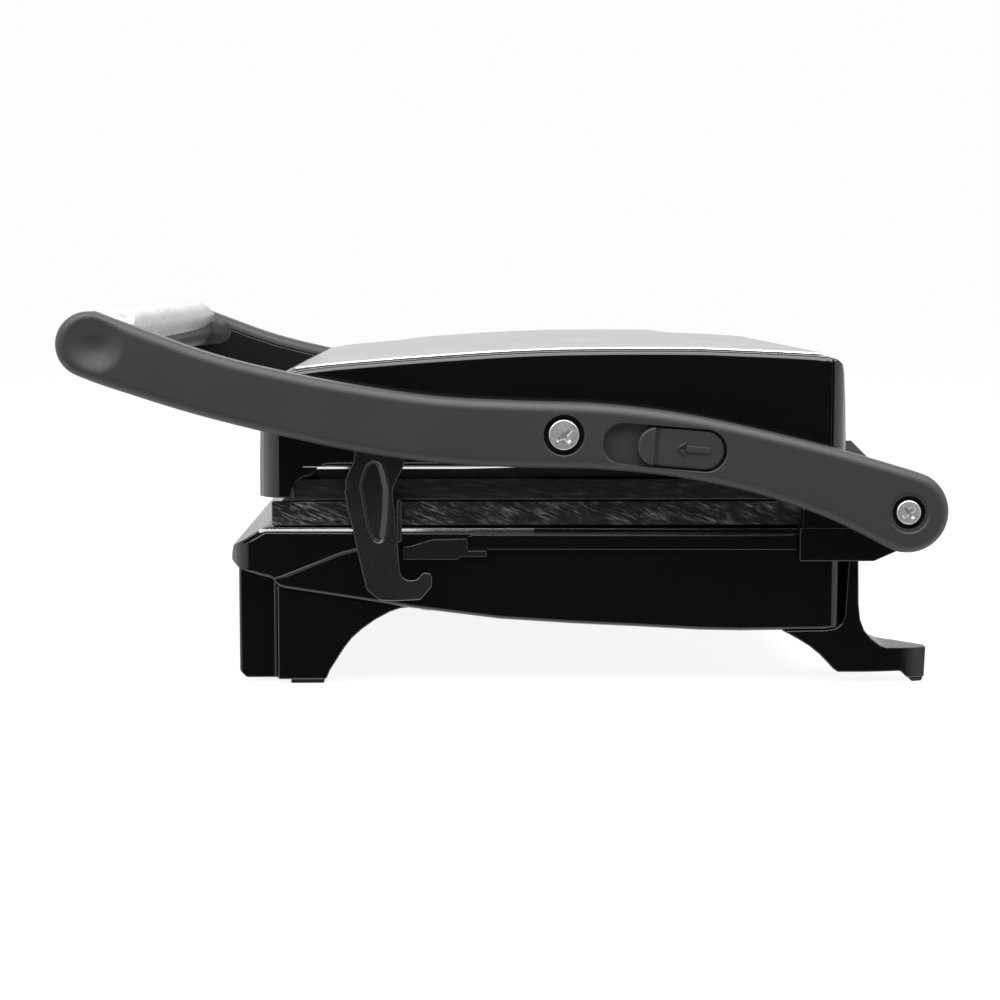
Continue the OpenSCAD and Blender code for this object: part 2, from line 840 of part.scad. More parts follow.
module button_spring() {
    turns = 6;
    length = 14;
    wire_r = 0.35;
    sides = 6;
    rings = 12 * turns;
    points = [for (i = [0 : rings]) for (k = [0 : sides - 1])
        let (a = 360 * turns * i / rings, c = coil_at(a, turns, length, coil_r), b = 360 * k / sides)
            c + [wire_r * sin(b), wire_r * cos(b) * cos(a), wire_r * cos(b) * sin(a)]];
    faces = concat(
        [[for (k = [0 : sides - 1]) k]],
        [for (i = [0 : rings - 1]) for (k = [0 : sides - 1])
            [i * sides + k, (i + 1) * sides + k, (i + 1) * sides + (k + 1) % sides,
             i * sides + (k + 1) % sides]],
        [[for (k = [sides - 1 : -1 : 0]) rings * sides + k]]);
    color(ZINC)
    translate([spring_x, SLOT[0], SLOT[1]])
        rotate([-slot_tilt, 0, 0])
            translate([0, lock_bar_front - spring_gap, 0])
                rotate([0, 0, -90])
                    polyhedron(points, faces);
}

// ---------------------------------------------------------------- head

module head_outline() {
    polygon(concat(HEAD_FRONT, ROOF, HEAD_REAR, HEAD_CUT));
}

module upper_housing() {
    color(GLOSS_BLACK)
    difference() {
        union() {
            difference() {
                intersection() {
                    along_x(-head_x, head_x) head_outline();
                    linear_extrude(140) rounded_plan(head_x, -91.5, 128, 8, 7);
                }
                intersection() {
                    along_x(-head_x, head_x) polygon(HEAD_INSIDE);
                    linear_extrude(140)
                        rounded_plan(head_x - wall, -91.5 + wall, 128 - wall, 5.5, 4.5);
                }
            }
            both_sides() {
                rod_x(head_x - wall - 7, head_x - wall + 0.5, HEAD_PIVOT, 7);
                for (s = PLATE_SCREW_AT)
                    translate([s[0], s[1], 89])
                        cylinder(h = s[1] < 0 ? 29 : 33, r = 4.5);
            }
        }
        // opening under the steel cover
        translate([-84, -52, 100])
            cube([168, 138, 40]);
        both_sides() {
            rod_x(100, head_x + 1, HEAD_PIVOT, 3);
            rod_x(head_x - wall - 1, head_x + 1, LATCH_PIVOT, 2);
            translate([LAMP_X, -80, LAMP_Z])
                rotate([90, 0, 0])
                    cylinder(h = 20, r = 3);
            for (s = PLATE_SCREW_AT)
                translate([s[0], s[1], 80])
                    cylinder(h = 17, r = 1.8);
        }
    }
}

// Outline of the cover's roof line between two places, lifted by dz
function roof_part(y0, y1, dz) = [for (q = ROOF) if (q[0] >= y0 && q[0] <= y1) [q[0], q[1] + dz]];

// Soft raised panel of the cover: h is how far it stands above the roof line
module cover_pillow(h, drop, shrink) {
    roof = roof_part(-67, 102, 0);
    n = len(roof) - 1;
    lift = [for (i = [0 : n]) [roof[i][0], roof[i][1] - drop + (i == 0 || i == n ? 0 : h)]];
    intersection() {
        along_x(shrink - 116, 116 - shrink)
            polygon(concat(lift, [[101, 110], [-67, 110]]));
        along_y(-70, 105)
            polygon(concat(
                [for (i = [-12 : 12]) [i * 10, 127.9 - drop - 3.4 * pow(i / 12, 2)]],
                [[120, 100], [-120, 100]]));
        linear_extrude(140) rounded_plan(116 - shrink, -68 + shrink, 102 - shrink, 24, 24);
    }
}

module top_cover() {
    sheet = roof_part(-80, 120, 0);
    color(BRIGHT_STEEL)
    difference() {
        union() {
            intersection() {
                along_x(-129, 129)
                    polygon(concat(sheet, reversed(raised(sheet, cover_t))));
                linear_extrude(140) rounded_plan(129, -78.6, 119.3, 12, 9);
            }
            intersection() {
                cover_pillow(2.8, 0, 0);
                along_x(-129, 129)
                    polygon(concat(sheet, reversed(raised(sheet, 6))));
            }
        }
        cover_pillow(2.8, cover_t, 1);
    }
}

module head_spacers() {
    color(DARK_PLASTIC)
    both_sides()
        difference() {
            rod_x(head_x, spacer_out, HEAD_PIVOT, 9);
            rod_x(head_x - 1, spacer_out + 1, HEAD_PIVOT, 3);
        }
}

module head_pivot_screws() {
    color(ZINC)
    both_sides()
        pan_screw_x(HEAD_PIVOT, head_under, 5.6, head_pin_r, spacer_out, 3, head_x - 8);
}

module lamp(x, tint) {
    color(tint)
    translate([x, -86, LAMP_Z])
        rotate([90, 0, 0])
            rotate_extrude()
                polygon([[0, 0], [3, 0], [3, 5], [3.9, 5], [3.9, 5.6], [3, 6.3], [1.6, 6.8], [0, 7]]);
}

module power_lamp() {
    lamp(-LAMP_X, [0.8, 0.1, 0.08]);
}

module ready_lamp() {
    lamp(LAMP_X, [0.1, 0.7, 0.2]);
}

// ---------------------------------------------------------------- storage latch

module latch_rivet() {
    color(ZINC)
    union() {
        rod_x(head_x - wall - 0.8, head_x, LATCH_PIVOT, 2);
        rod_x(head_x, latch_x - 0.3, LATCH_PIVOT, 5);
        rod_x(latch_x - 0.3 - e, latch_x + latch_t + 0.3, LATCH_PIVOT, latch_pin_r);
        rod_x(latch_x + latch_t + 0.3 - e, latch_x + latch_t + 0.9, LATCH_PIVOT, 4.4);
    }
}

module latch_outline() {
    polygon(concat(
        arc(LATCH_PIVOT, 9, 200, -10, 16),
        [[-36.4, 88], [-37, 82.7], [-40, 76.7], [-41.5, 73.6], [-41.2, 71.4], [-39.4, 70.4]],
        // inside of the hook, its tip and its cut-off outside corners
        arc([-35, 43.2], 4.4, 180, 318, 12),
        [[-30.4, 43.6]],
        arc([-28.4, 42.4], 1.8, 110, 0, 6),
        [[-26.6, 38.6], [-30.4, 34.2], [-38.4, 32.9], [-44.4, 33.6], [-49.4, 38.4]],
        [[-52.3, 47.8], [-54.5, 57.5], [-56.9, 68.6]],
        arc([-53.7, 76.6], 5, 200, 148, 6),
        [[-55.6, 84.5]]));
}

module storage_latch() {
    color(MATT_BLACK)
    difference() {
        union() {
            along_x(latch_x, latch_x + latch_t) latch_outline();
            // bent flange
            along_x(latch_x, latch_x + 2.3)
                polygon([[-39.8, 54], [-37.9, 54.6], [-37.9, 69.8], [-39.8, 70.3]]);
            // pressed rib
            along_x(latch_x + latch_t - e, latch_x + latch_t + 0.7)
                polygon([
                    [-49.8, 86], [-43.6, 86], [-44.3, 79], [-45.5, 74.8], [-46.3, 52.6],
                    [-47.9, 52.6], [-48.4, 74.8], [-49.4, 79]
                ]);
        }
        rod_x(latch_x - 1, latch_x + 5, LATCH_PIVOT, latch_pin_r + running_gap);
    }
}

// ---------------------------------------------------------------- the parts

lower_housing();
bottom_cover();
side_rail();  // side_rail_right
mirror([1, 0, 0]) side_rail();  // side_rail_left
front_leg();  // front_leg_right
mirror([1, 0, 0]) front_leg();  // front_leg_left
rear_leg();  // rear_leg_right
mirror([1, 0, 0]) rear_leg();  // rear_leg_left
wire_guard();
foot_pads();
hinge_bracket();  // hinge_bracket_right
mirror([1, 0, 0]) hinge_bracket();  // hinge_bracket_left
rear_pivot_screws();
lower_grill_plate();
lower_heating_element();
lower_reflector();
lower_element_clamps();
thermostat();
thermal_fuse();
terminal_block();
base_wires();
cord_inlet();
latch_catch();
base_screws();
drip_tray();
handle_arm(true);  // handle_arm_right
mirror([1, 0, 0]) handle_arm(false);  // handle_arm_left
arm_cover();  // arm_cover_right
mirror([1, 0, 0]) arm_cover();  // arm_cover_left
grip_bar();
grip_cover();
grip_core();
pivot_bushes();
slide_button();
lock_bar();
button_spring();
upper_housing();
top_cover();
upper_grill_plate();
upper_heating_element();
upper_reflector();
upper_element_clamps();
head_spacers();
head_pivot_screws();
plate_screws();
power_lamp();
ready_lamp();
latch_rivet();
storage_latch();
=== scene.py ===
"""Panini press: the looks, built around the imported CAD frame.

Lengths are millimetres, except that the floor and the soft panels are in metres."""

import json
import math

import bmesh
import bpy
from mathutils import Matrix, Vector
from mathutils.bvhtree import BVHTree
from mathutils.geometry import delaunay_2d_cdt


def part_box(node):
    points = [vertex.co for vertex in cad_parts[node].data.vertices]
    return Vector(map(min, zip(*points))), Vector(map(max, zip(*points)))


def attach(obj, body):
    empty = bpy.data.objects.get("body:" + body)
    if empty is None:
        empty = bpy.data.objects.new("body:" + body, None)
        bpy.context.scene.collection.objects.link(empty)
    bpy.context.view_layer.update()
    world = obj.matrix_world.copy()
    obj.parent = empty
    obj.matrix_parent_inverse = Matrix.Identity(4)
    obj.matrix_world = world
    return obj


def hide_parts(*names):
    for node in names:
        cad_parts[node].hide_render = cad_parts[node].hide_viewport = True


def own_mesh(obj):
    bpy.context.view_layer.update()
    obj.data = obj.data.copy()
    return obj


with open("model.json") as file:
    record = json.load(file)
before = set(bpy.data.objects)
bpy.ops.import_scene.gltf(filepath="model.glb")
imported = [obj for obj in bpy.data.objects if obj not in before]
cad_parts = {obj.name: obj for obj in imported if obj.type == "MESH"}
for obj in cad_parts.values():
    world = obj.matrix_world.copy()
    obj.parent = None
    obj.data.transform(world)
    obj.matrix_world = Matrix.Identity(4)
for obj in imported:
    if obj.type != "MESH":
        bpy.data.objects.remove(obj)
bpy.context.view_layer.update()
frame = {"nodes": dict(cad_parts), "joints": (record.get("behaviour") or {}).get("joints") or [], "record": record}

MM = 0.001
SHARP_DEGREES = 32
ROUNDED_FROM_DEGREES = 22
NODES = frame["nodes"]
BODY_OF = {n: b for b, members in frame["record"]["behaviour"]["bodies"].items() for n in members}
SLOT_OF = {s["node"]: s["material_slot"] for s in frame["record"]["subparts"]}
JOINTS = {j["name"]: j for j in frame["joints"]}


# ---------------------------------------------------------------- places, from the frame

def box_mm(node):
    """Lowest and highest corner of a CAD node in millimetres."""
    low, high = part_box(node)
    return low / MM, high / MM


def joint_yz(name):
    """Where a hinge's axis crosses the middle plane, as (y, z) in millimetres."""
    position = Vector(JOINTS[name]["pos_m"]) / MM
    return Vector((position.y, position.z))


ARM_OUT = box_mm("handle_arm_right")[1].x
ARM_IN = box_mm("handle_arm_right")[0].x
HEAD_PIVOT = joint_yz("head_float")
REAR_PIVOT = joint_yz("handle_hinge")
LATCH_PIVOT = joint_yz("latch_swing")


# ---------------------------------------------------------------- camera, light and floor

# How bright each part of the studio is; 1 is white
DARK_SIDE = 0.06
BACKDROP = 0.66
END_PANELS = 0.95
WHITE_GROUND = 1.4
SEEN_BACKDROP = 0.98

CAMERA_AT = Vector((953.0, -16.7, 150.9)) * MM
CAMERA_LOOKS_AT = Vector((150.0, -1.9, 71.4)) * MM
LENS = 80.1
FLOOR_RADIUS = 6.0
FLOOR_SIDES = 48


def aimed(obj, place, aim):
    obj.location = place
    obj.rotation_euler = (Vector(aim) - Vector(place)).to_track_quat("-Z", "Y").to_euler()
    return obj


def add_camera():
    data = bpy.data.cameras.new("camera")
    data.lens = LENS
    data.sensor_width = 36.0
    data.clip_start = 0.05
    data.clip_end = 30.0
    camera = aimed(add_object("camera", data), CAMERA_AT, CAMERA_LOOKS_AT)
    bpy.context.scene.camera = camera


def add_soft_panel(name, place, aim, size, radiance):
    """A soft studio panel; white paper as bright as its face would have this radiance."""
    data = bpy.data.lights.new(name, "AREA")
    data.shape = "RECTANGLE"
    data.size, data.size_y = size
    data.energy = radiance * math.pi * size[0] * size[1]
    lamp = aimed(add_object(name, data), place, aim)
    lamp.visible_camera = False


def map_range(tree, made, source, limits):
    """Sets a Map Range node to (from low, from high, to low, to high) and gives its result."""
    for key, value in zip(("From Min", "From Max", "To Min", "To Max"), limits):
        made.inputs[key].default_value = value
    tree.links.new(source, made.inputs["Value"])
    return made.outputs["Result"]


def add_world():
    """A pale backdrop behind, bright ends along Y, a dark camera side and white ground."""
    world = bpy.data.worlds.new("studio")
    world.use_nodes = True
    bpy.context.scene.world = world
    tree = world.node_tree
    background = tree.nodes["Background"]
    background.inputs["Color"].default_value = (1, 1, 1, 1)
    coords = tree.nodes.new("ShaderNodeTexCoord")
    split = tree.nodes.new("ShaderNodeSeparateXYZ")
    tree.links.new(coords.outputs["Generated"], split.inputs[0])

    def maths(operation, a, b=None):
        made = tree.nodes.new("ShaderNodeMath")
        made.operation = operation
        tree.links.new(a, made.inputs[0])
        if b is not None:
            tree.links.new(b, made.inputs[1])
        return made.outputs[0]

    def window(source, *limits):
        made = tree.nodes.new("ShaderNodeMapRange")
        made.interpolation_type = "SMOOTHSTEP"
        return map_range(tree, made, source, limits)

    backdrop = window(split.outputs["X"], 0.8, -0.3, DARK_SIDE, BACKDROP)
    panels = window(maths("ABSOLUTE", split.outputs["Y"]), 0.6, 0.74, 0.0, END_PANELS)
    ground = window(split.outputs["Z"], -0.4, -0.8, 0.0, WHITE_GROUND)
    light = maths("ADD", maths("ADD", backdrop, panels), ground)
    seen = tree.nodes.new("ShaderNodeMix")
    path = tree.nodes.new("ShaderNodeLightPath")
    tree.links.new(path.outputs["Is Camera Ray"], seen.inputs["Factor"])
    tree.links.new(light, seen.inputs["A"])
    seen.inputs["B"].default_value = SEEN_BACKDROP
    tree.links.new(seen.outputs["Result"], background.inputs["Strength"])


def add_floor():
    """A wide pale floor. Gloss reflects the world's own white ground instead of it."""
    verts = [(p.x, p.y, 0.0) for p in circle_outline((0, 0), FLOOR_RADIUS, FLOOR_SIDES)]
    mesh = bpy.data.meshes.new("floor")
    mesh.from_pydata(verts, [], [tuple(range(FLOOR_SIDES))])
    floor = add_object("floor", mesh)
    mesh.materials.append(floor_material())
    floor.visible_glossy = False


# ---------------------------------------------------------------- shader helpers

class Shader:
    """A Principled material with short calls for the nodes that the finishes share."""

    def __init__(self, name, **sockets):
        self.material = bpy.data.materials.new(name)
        self.material.use_nodes = True
        self.tree = self.material.node_tree
        self.bsdf = self.tree.nodes["Principled BSDF"]
        for socket, value in sockets.items():
            self.bsdf.inputs[socket.replace("_", " ")].default_value = value
        self.coords = self.tree.nodes.new("ShaderNodeTexCoord").outputs["Object"]

    def node(self, kind, **values):
        made = self.tree.nodes.new(kind)
        for key, value in values.items():
            setattr(made, key, value)
        return made

    def link(self, source, target):
        self.tree.links.new(source, target)

    def mapped(self, turn=(0, 0, 0), stretch=(1, 1, 1)):
        """Object coordinates turned by degrees and then stretched."""
        mapping = self.node("ShaderNodeMapping", vector_type="TEXTURE")
        mapping.inputs["Rotation"].default_value = [math.radians(a) for a in turn]
        mapping.inputs["Scale"].default_value = stretch
        self.link(self.coords, mapping.inputs["Vector"])
        return mapping.outputs["Vector"]

    def noise(self, size_mm, detail=3.0, roughness=0.55, vector=None, distortion=0.0):
        """Noise whose features are about size_mm across."""
        made = self.node("ShaderNodeTexNoise")
        made.inputs["Scale"].default_value = 1 / (size_mm * MM)
        made.inputs["Detail"].default_value = detail
        made.inputs["Roughness"].default_value = roughness
        made.inputs["Distortion"].default_value = distortion
        self.link(vector or self.coords, made.inputs["Vector"])
        return made.outputs["Fac"]

    def ranged(self, value, *limits):
        return map_range(self.tree, self.node("ShaderNodeMapRange"), value, limits)

    def math(self, operation, a, b):
        made = self.node("ShaderNodeMath", operation=operation)
        for socket, value in zip(made.inputs, (a, b)):
            if isinstance(value, (int, float)):
                socket.default_value = value
            else:
                self.link(value, socket)
        return made.outputs[0]

    def coloured(self, factor, dark, light):
        made = self.node("ShaderNodeMix", data_type="RGBA")
        self.link(factor, made.inputs["Factor"])
        made.inputs["A"].default_value = (*dark, 1)
        made.inputs["B"].default_value = (*light, 1)
        self.drive("Base Color", made.outputs["Result"])

    def roughened(self, noise, low, high):
        """Roughness from low to high over the middle of a noise's range."""
        self.drive("Roughness", self.ranged(noise, 0.3, 0.7, low, high))

    def edge_wear(self, radius_mm):
        """0 on flats, rising to 1 on edges."""
        bevel = self.node("ShaderNodeBevel", samples=6)
        bevel.inputs["Radius"].default_value = radius_mm * MM
        geometry = self.node("ShaderNodeNewGeometry")
        dot = self.node("ShaderNodeVectorMath", operation="DOT_PRODUCT")
        self.link(bevel.outputs["Normal"], dot.inputs[0])
        self.link(geometry.outputs["Normal"], dot.inputs[1])
        return self.ranged(dot.outputs["Value"], 0.995, 0.8, 0.0, 1.0)

    def bump(self, height, depth_mm, strength=1.0, rounded_mm=0.0):
        """Surface relief depth_mm deep; rounded_mm also softens the shading of tight edges."""
        made = self.node("ShaderNodeBump")
        made.inputs["Strength"].default_value = strength
        made.inputs["Distance"].default_value = depth_mm * MM
        self.link(height, made.inputs["Height"])
        if rounded_mm:
            bevel = self.node("ShaderNodeBevel", samples=6)
            bevel.inputs["Radius"].default_value = rounded_mm * MM
            self.link(bevel.outputs["Normal"], made.inputs["Normal"])
        self.link(made.outputs["Normal"], self.bsdf.inputs["Normal"])

    def drive(self, socket, source):
        self.link(source, self.bsdf.inputs[socket])


def floor_material():
    s = Shader("floor_paper", Base_Color=(0.12, 0.12, 0.12, 1), Roughness=0.95,
               Specular_IOR_Level=0.0, Emission_Color=(1, 1, 1, 1), Emission_Strength=0.9)
    s.bump(s.noise(1.4), 0.02)
    return s.material


# ---------------------------------------------------------------- finishes

def gloss_black():
    s = Shader("gloss_black", Specular_IOR_Level=0.5)
    s.coloured(s.noise(60, 2), (0.001, 0.001, 0.0011), (0.002, 0.002, 0.0022))
    s.drive("Roughness", s.ranged(s.noise(24, 4, 0.6), 0.3, 0.75, 0.07, 0.15))
    s.bump(s.noise(9, 2, 0.5), 0.015, rounded_mm=0.25)
    return s.material


def matt_black():
    s = Shader("matt_black", Specular_IOR_Level=0.38)
    grain = s.noise(0.32, 2, 0.5)
    wear = s.math("MULTIPLY", s.edge_wear(0.9), s.ranged(s.noise(7, 3), 0.4, 0.7, 0.2, 1.0))
    blotch = s.math("ADD", s.ranged(s.noise(30, 3), 0.3, 0.7, 0.0, 0.5), s.math("MULTIPLY", wear, 0.5))
    s.coloured(blotch, (0.016, 0.016, 0.0163), (0.022, 0.022, 0.0224))
    s.drive("Roughness", s.math("SUBTRACT", s.ranged(grain, 0.3, 0.7, 0.46, 0.56),
                                s.math("MULTIPLY", wear, 0.12)))
    s.bump(grain, 0.012)
    return s.material


def dark_plastic():
    s = Shader("dark_plastic", Specular_IOR_Level=0.4)
    grain = s.noise(0.5, 2, 0.5)
    s.coloured(s.noise(25, 3), (0.004, 0.004, 0.0043), (0.008, 0.008, 0.0084))
    s.roughened(grain, 0.2, 0.3)
    s.bump(grain, 0.008, rounded_mm=0.3)
    return s.material


def steel(name, colour, rough_low, rough_high):
    """Sheet steel with its brush marks along X."""
    s = Shader(name, Metallic=1.0, Specular_IOR_Level=0.5)
    lines = s.noise(0.22, 3, 0.6, s.mapped(stretch=(40, 1, 1)))
    s.coloured(lines, tuple(c * 0.93 for c in colour), colour)
    s.drive("Roughness", s.math("ADD", s.ranged(lines, 0.3, 0.7, rough_low, rough_high),
                                s.ranged(s.noise(35, 2), 0.3, 0.7, -0.02, 0.03)))
    s.bump(lines, 0.004, rounded_mm=0.3)
    return s.material


def zinc():
    s = Shader("zinc", Metallic=1.0)
    pits = s.noise(0.7, 4, 0.65)
    s.coloured(pits, (0.7, 0.71, 0.72), (0.92, 0.92, 0.93))
    s.roughened(pits, 0.32, 0.5)
    s.bump(pits, 0.03, rounded_mm=0.15)
    return s.material


def cast_plate():
    """Coated aluminium casting; its upper plate's flange is smooth and unmarked, and left dark as painted shade
    under the head's edge.

    The marks slant on the lower plate and are level on the upper one."""
    s = Shader("cast_plate", Specular_IOR_Level=0.45)
    flange, soft = 8.1 * MM, 0.2 * MM
    split = s.node("ShaderNodeSeparateXYZ")
    s.link(s.coords, split.inputs[0])
    height = split.outputs["Z"]
    upper_z = box_mm("upper_grill_plate")[0].z * MM
    # 1 on the casting's marked surface; on the upper plate's flange it falls to 0.08, taking away marks and
    # relief: a smooth flange, kept dark as painted shade under the head's edge
    cast_outside_flange_shade = s.ranged(height, upper_z + flange, upper_z + flange + soft, 1.0, 0.08)
    lower = s.ranged(height, upper_z - soft, upper_z, 1.0, 0.0)
    on_upper = s.math("MULTIPLY", s.math("SUBTRACT", 1.0, lower), cast_outside_flange_shade)
    slanting = s.noise(0.62, 3, 0.65, s.mapped((-22, 0, 0), (3, 9, 1)), distortion=0.6)
    level = s.noise(0.5, 3, 0.6, s.mapped((-5, 0, 0), (3, 16, 1)), distortion=0.3)
    patch = s.ranged(s.noise(11, 2), 0.38, 0.62, 0.15, 1.0)
    slants = s.math("MULTIPLY", s.ranged(slanting, 0.49, 0.68, 0.0, 1.0), patch)
    marks = s.math("ADD", s.math("MULTIPLY", slants, lower),
                   s.math("MULTIPLY", s.ranged(level, 0.5, 0.75, 0.0, 0.2), on_upper))
    s.coloured(marks, (0.008, 0.008, 0.0083), (0.17, 0.17, 0.172))
    s.drive("Roughness", s.ranged(marks, 0.0, 1.0, 0.32, 0.5))
    peel = s.math("ADD", s.math("MULTIPLY", slanting, lower), s.math("MULTIPLY", s.noise(0.5, 2), 0.4))
    s.bump(s.math("MULTIPLY", peel, cast_outside_flange_shade), 0.1, 0.8, rounded_mm=0.4)
    return s.material


def speckled(name, dark, light, blotch, relief, rough=None, rounded_mm=0.0, **sockets):
    """A finish whose colour, relief and roughness each follow a noise of its own.

    blotch is the (size, detail) of the first; relief adds its depth, and rough its low and high."""
    s = Shader(name, **sockets)
    s.coloured(s.noise(*blotch), dark, light)
    if rough:
        s.roughened(s.noise(*rough[:2]), *rough[2:])
    s.bump(s.noise(*relief[:2]), relief[2], rounded_mm=rounded_mm)
    return s.material


def lens(name, colour):
    pale = tuple(min(1.0, c * 1.4 + 0.02) for c in colour)
    return speckled(name, colour, pale, (1.2, 2), (0.9, 2, 0.02),
                    Transmission_Weight=0.4, Roughness=0.08, IOR=1.49)


MATERIALS = {
    "gloss_black": gloss_black(),
    "matt_black": matt_black(),
    "dark_plastic": dark_plastic(),
    "bright_steel": steel("bright_steel", (0.78, 0.78, 0.785), 0.09, 0.14),
    "satin_steel": steel("satin_steel", (0.62, 0.62, 0.625), 0.24, 0.3),
    "zinc": zinc(),
    "cast_plate": cast_plate(),
    "rubber": speckled("rubber", (0.012, 0.012, 0.012), (0.022, 0.022, 0.021), (4, 3), (0.8, 3, 0.03),
                       Specular_IOR_Level=0.3, Roughness=0.75),
    "brass": speckled("brass", (0.6, 0.42, 0.18), (0.82, 0.64, 0.32), (2, 3), (0.5, 2, 0.01),
                      (0.6, 3, 0.22, 0.4), Metallic=1.0),
    "ceramic": speckled("ceramic", (0.74, 0.71, 0.62), (0.86, 0.84, 0.77), (3, 3), (0.6, 3, 0.02),
                        (1, 3, 0.35, 0.55), Specular_IOR_Level=0.5),
    "wire_red": speckled("wire_red", (0.42, 0.04, 0.03), (0.56, 0.07, 0.05), (3, 2), (0.7, 2, 0.01),
                         (0.8, 3, 0.3, 0.45), Specular_IOR_Level=0.4),
    "latch_black": speckled("latch_black", (0.006, 0.006, 0.0063), (0.011, 0.011, 0.0115), (12, 3),
                            (0.9, 2, 0.01), (1.5, 4, 0.2, 0.32), 0.2,
                            Specular_IOR_Level=0.5, Coat_Weight=0.25, Coat_Roughness=0.15),
    "lens_red": lens("lens_red", (0.55, 0.02, 0.015)),
    "lens_green": lens("lens_green", (0.03, 0.45, 0.1)),
}


# ---------------------------------------------------------------- mesh helpers

def clamped(t):
    return min(1.0, max(0.0, t))


def smooth(t):
    return t * t * (3 - 2 * t)


def add_object(name, mesh):
    made = bpy.data.objects.new(name, mesh)
    bpy.context.scene.collection.objects.link(made)
    return made


def mesh_from(name, verts_mm, faces):
    mesh = bpy.data.meshes.new(name)
    mesh.from_pydata([Vector(v) * MM for v in verts_mm], [], faces)
    mesh.shade_smooth()
    mesh.set_sharp_from_angle(angle=math.radians(SHARP_DEGREES))
    return mesh


def mesh_of(bm, name):
    """A new mesh from bm, which goes."""
    mesh = bpy.data.meshes.new(name)
    bm.to_mesh(mesh)
    bm.free()
    return mesh


def clean_bmesh(node):
    """A CAD node's mesh, welded and with its flat faces made whole."""
    bm = bmesh.new()
    bm.from_mesh(NODES[node].data)
    bmesh.ops.remove_doubles(bm, verts=bm.verts, dist=0.003 * MM)
    bmesh.ops.dissolve_limit(bm, angle_limit=math.radians(0.6), verts=bm.verts, edges=bm.edges)
    return bm


def baked(obj, name):
    """obj with its modifiers applied, as a new mesh object; the old one goes."""
    bpy.context.view_layer.update()
    evaluated = obj.evaluated_get(bpy.context.evaluated_depsgraph_get())
    mesh = bpy.data.meshes.new_from_object(evaluated)
    bpy.data.objects.remove(obj)
    mesh.name = name
    return add_object(name, mesh)


def drop_custom_normals(mesh):
    for attribute in [a for a in mesh.attributes if a.name == "custom_normal"]:
        mesh.attributes.remove(attribute)


def finish_extra(obj, body, slot, sharp_degrees=SHARP_DEGREES):
    """Gives a piece its material, body and slot, and clean shading."""
    drop_custom_normals(obj.data)
    obj.data.materials.clear()
    obj.data.materials.append(MATERIALS[slot])
    obj.data.shade_smooth()
    obj.data.set_sharp_from_angle(angle=math.radians(sharp_degrees))
    flat = obj.modifiers.new("flat_faces", "WEIGHTED_NORMAL")
    flat.keep_sharp = True
    flat.weight = 80
    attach(obj, body)
    return obj


def finish_piece(obj, *nodes, sharp_degrees=SHARP_DEGREES):
    """The same for a piece that stands for CAD nodes, with their body and slot."""
    finish_extra(obj, BODY_OF[nodes[0]], SLOT_OF[nodes[0]], sharp_degrees)
    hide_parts(*nodes)
    return obj


def softened(node, radius, segments=3, reshape=None):
    """A copy of a CAD node with its edges rounded to a radius in millimetres."""
    bm = clean_bmesh(node)
    if reshape:
        reshape(bm)
    layer = bm.edges.layers.float.new("bevel_weight_edge")
    for edge in bm.edges:
        angle = math.degrees(edge.calc_face_angle(0.0))
        if len(edge.link_faces) == 2 and angle >= ROUNDED_FROM_DEGREES:
            edge[layer] = 1.0
    mesh = mesh_of(bm, node)
    drop_custom_normals(mesh)
    rough = add_object("rough_" + node, mesh)
    bevel = rough.modifiers.new("round", "BEVEL")
    bevel.limit_method = "WEIGHT"
    bevel.width = radius * MM
    bevel.segments = segments
    bevel.use_clamp_overlap = False
    bevel.miter_outer = "MITER_ARC"
    return finish_piece(baked(rough, node + "_shell"), node)


def loft(name, rings, cap_start=True):
    """A skin over rings of the same number of (x, y, z) points in millimetres, closed at its end."""
    count = len(rings[0])
    verts = [p for ring in rings for p in ring]
    faces = []
    for r in range(len(rings) - 1):
        for i in range(count):
            j = (i + 1) % count
            faces.append((r * count + i, r * count + j, (r + 1) * count + j, (r + 1) * count + i))
    if cap_start:
        faces.append(tuple(range(count - 1, -1, -1)))
    faces.append(tuple((len(rings) - 1) * count + i for i in range(count)))
    return welded(add_object(name, mesh_from(name, verts, faces)))


def joined(name, objects):
    """Several objects as one mesh object."""
    bm = bmesh.new()
    for obj in objects:
        bm.from_mesh(obj.data)
        bpy.data.objects.remove(obj)
    return add_object(name, mesh_of(bm, name))


def welded(obj):
    """obj with its touching borders sewn together."""
    bm = bmesh.new()
    bm.from_mesh(obj.data)
    bmesh.ops.remove_doubles(bm, verts=bm.verts, dist=0.002 * MM)
    bmesh.ops.recalc_face_normals(bm, faces=bm.faces)
    bm.to_mesh(obj.data)
    bm.free()
    return obj


def mirrored(obj, name):
    """A copy of obj on the other side of the middle plane."""
    mesh = obj.data.copy()
    mesh.transform(Matrix.Scale(-1, 4, (1, 0, 0)))
    mesh.flip_normals()
    return add_object(name, mesh)


def both_sides(name, right, *more):
    """The pieces in more, a right-hand piece and its mirror image as one object."""
    return joined(name, [*more, right, mirrored(right, "left_" + name)])


def for_side(obj, side, name):
    """A right-hand piece under its final name, mirrored if it is for the left."""
    if side == "left":
        old, obj = obj, mirrored(obj, name)
        bpy.data.objects.remove(old)
    obj.name = name
    return obj


def sliced(bm, place, normal):
    """Cuts the faces that a plane crosses and keeps both halves."""
    bmesh.ops.bisect_plane(bm, geom=bm.verts[:] + bm.edges[:] + bm.faces[:],
                           plane_co=place, plane_no=normal)


def cut(obj, cutters, name, operation="DIFFERENCE"):
    """obj less the cutters, or only where it meets them, and the cutters go."""
    for cutter in cutters:
        modifier = obj.modifiers.new("cut", "BOOLEAN")
        modifier.operation = operation
        modifier.solver = "EXACT"
        modifier.object = cutter
    made = baked(obj, name)
    for cutter in cutters:
        bpy.data.objects.remove(cutter)
    return made


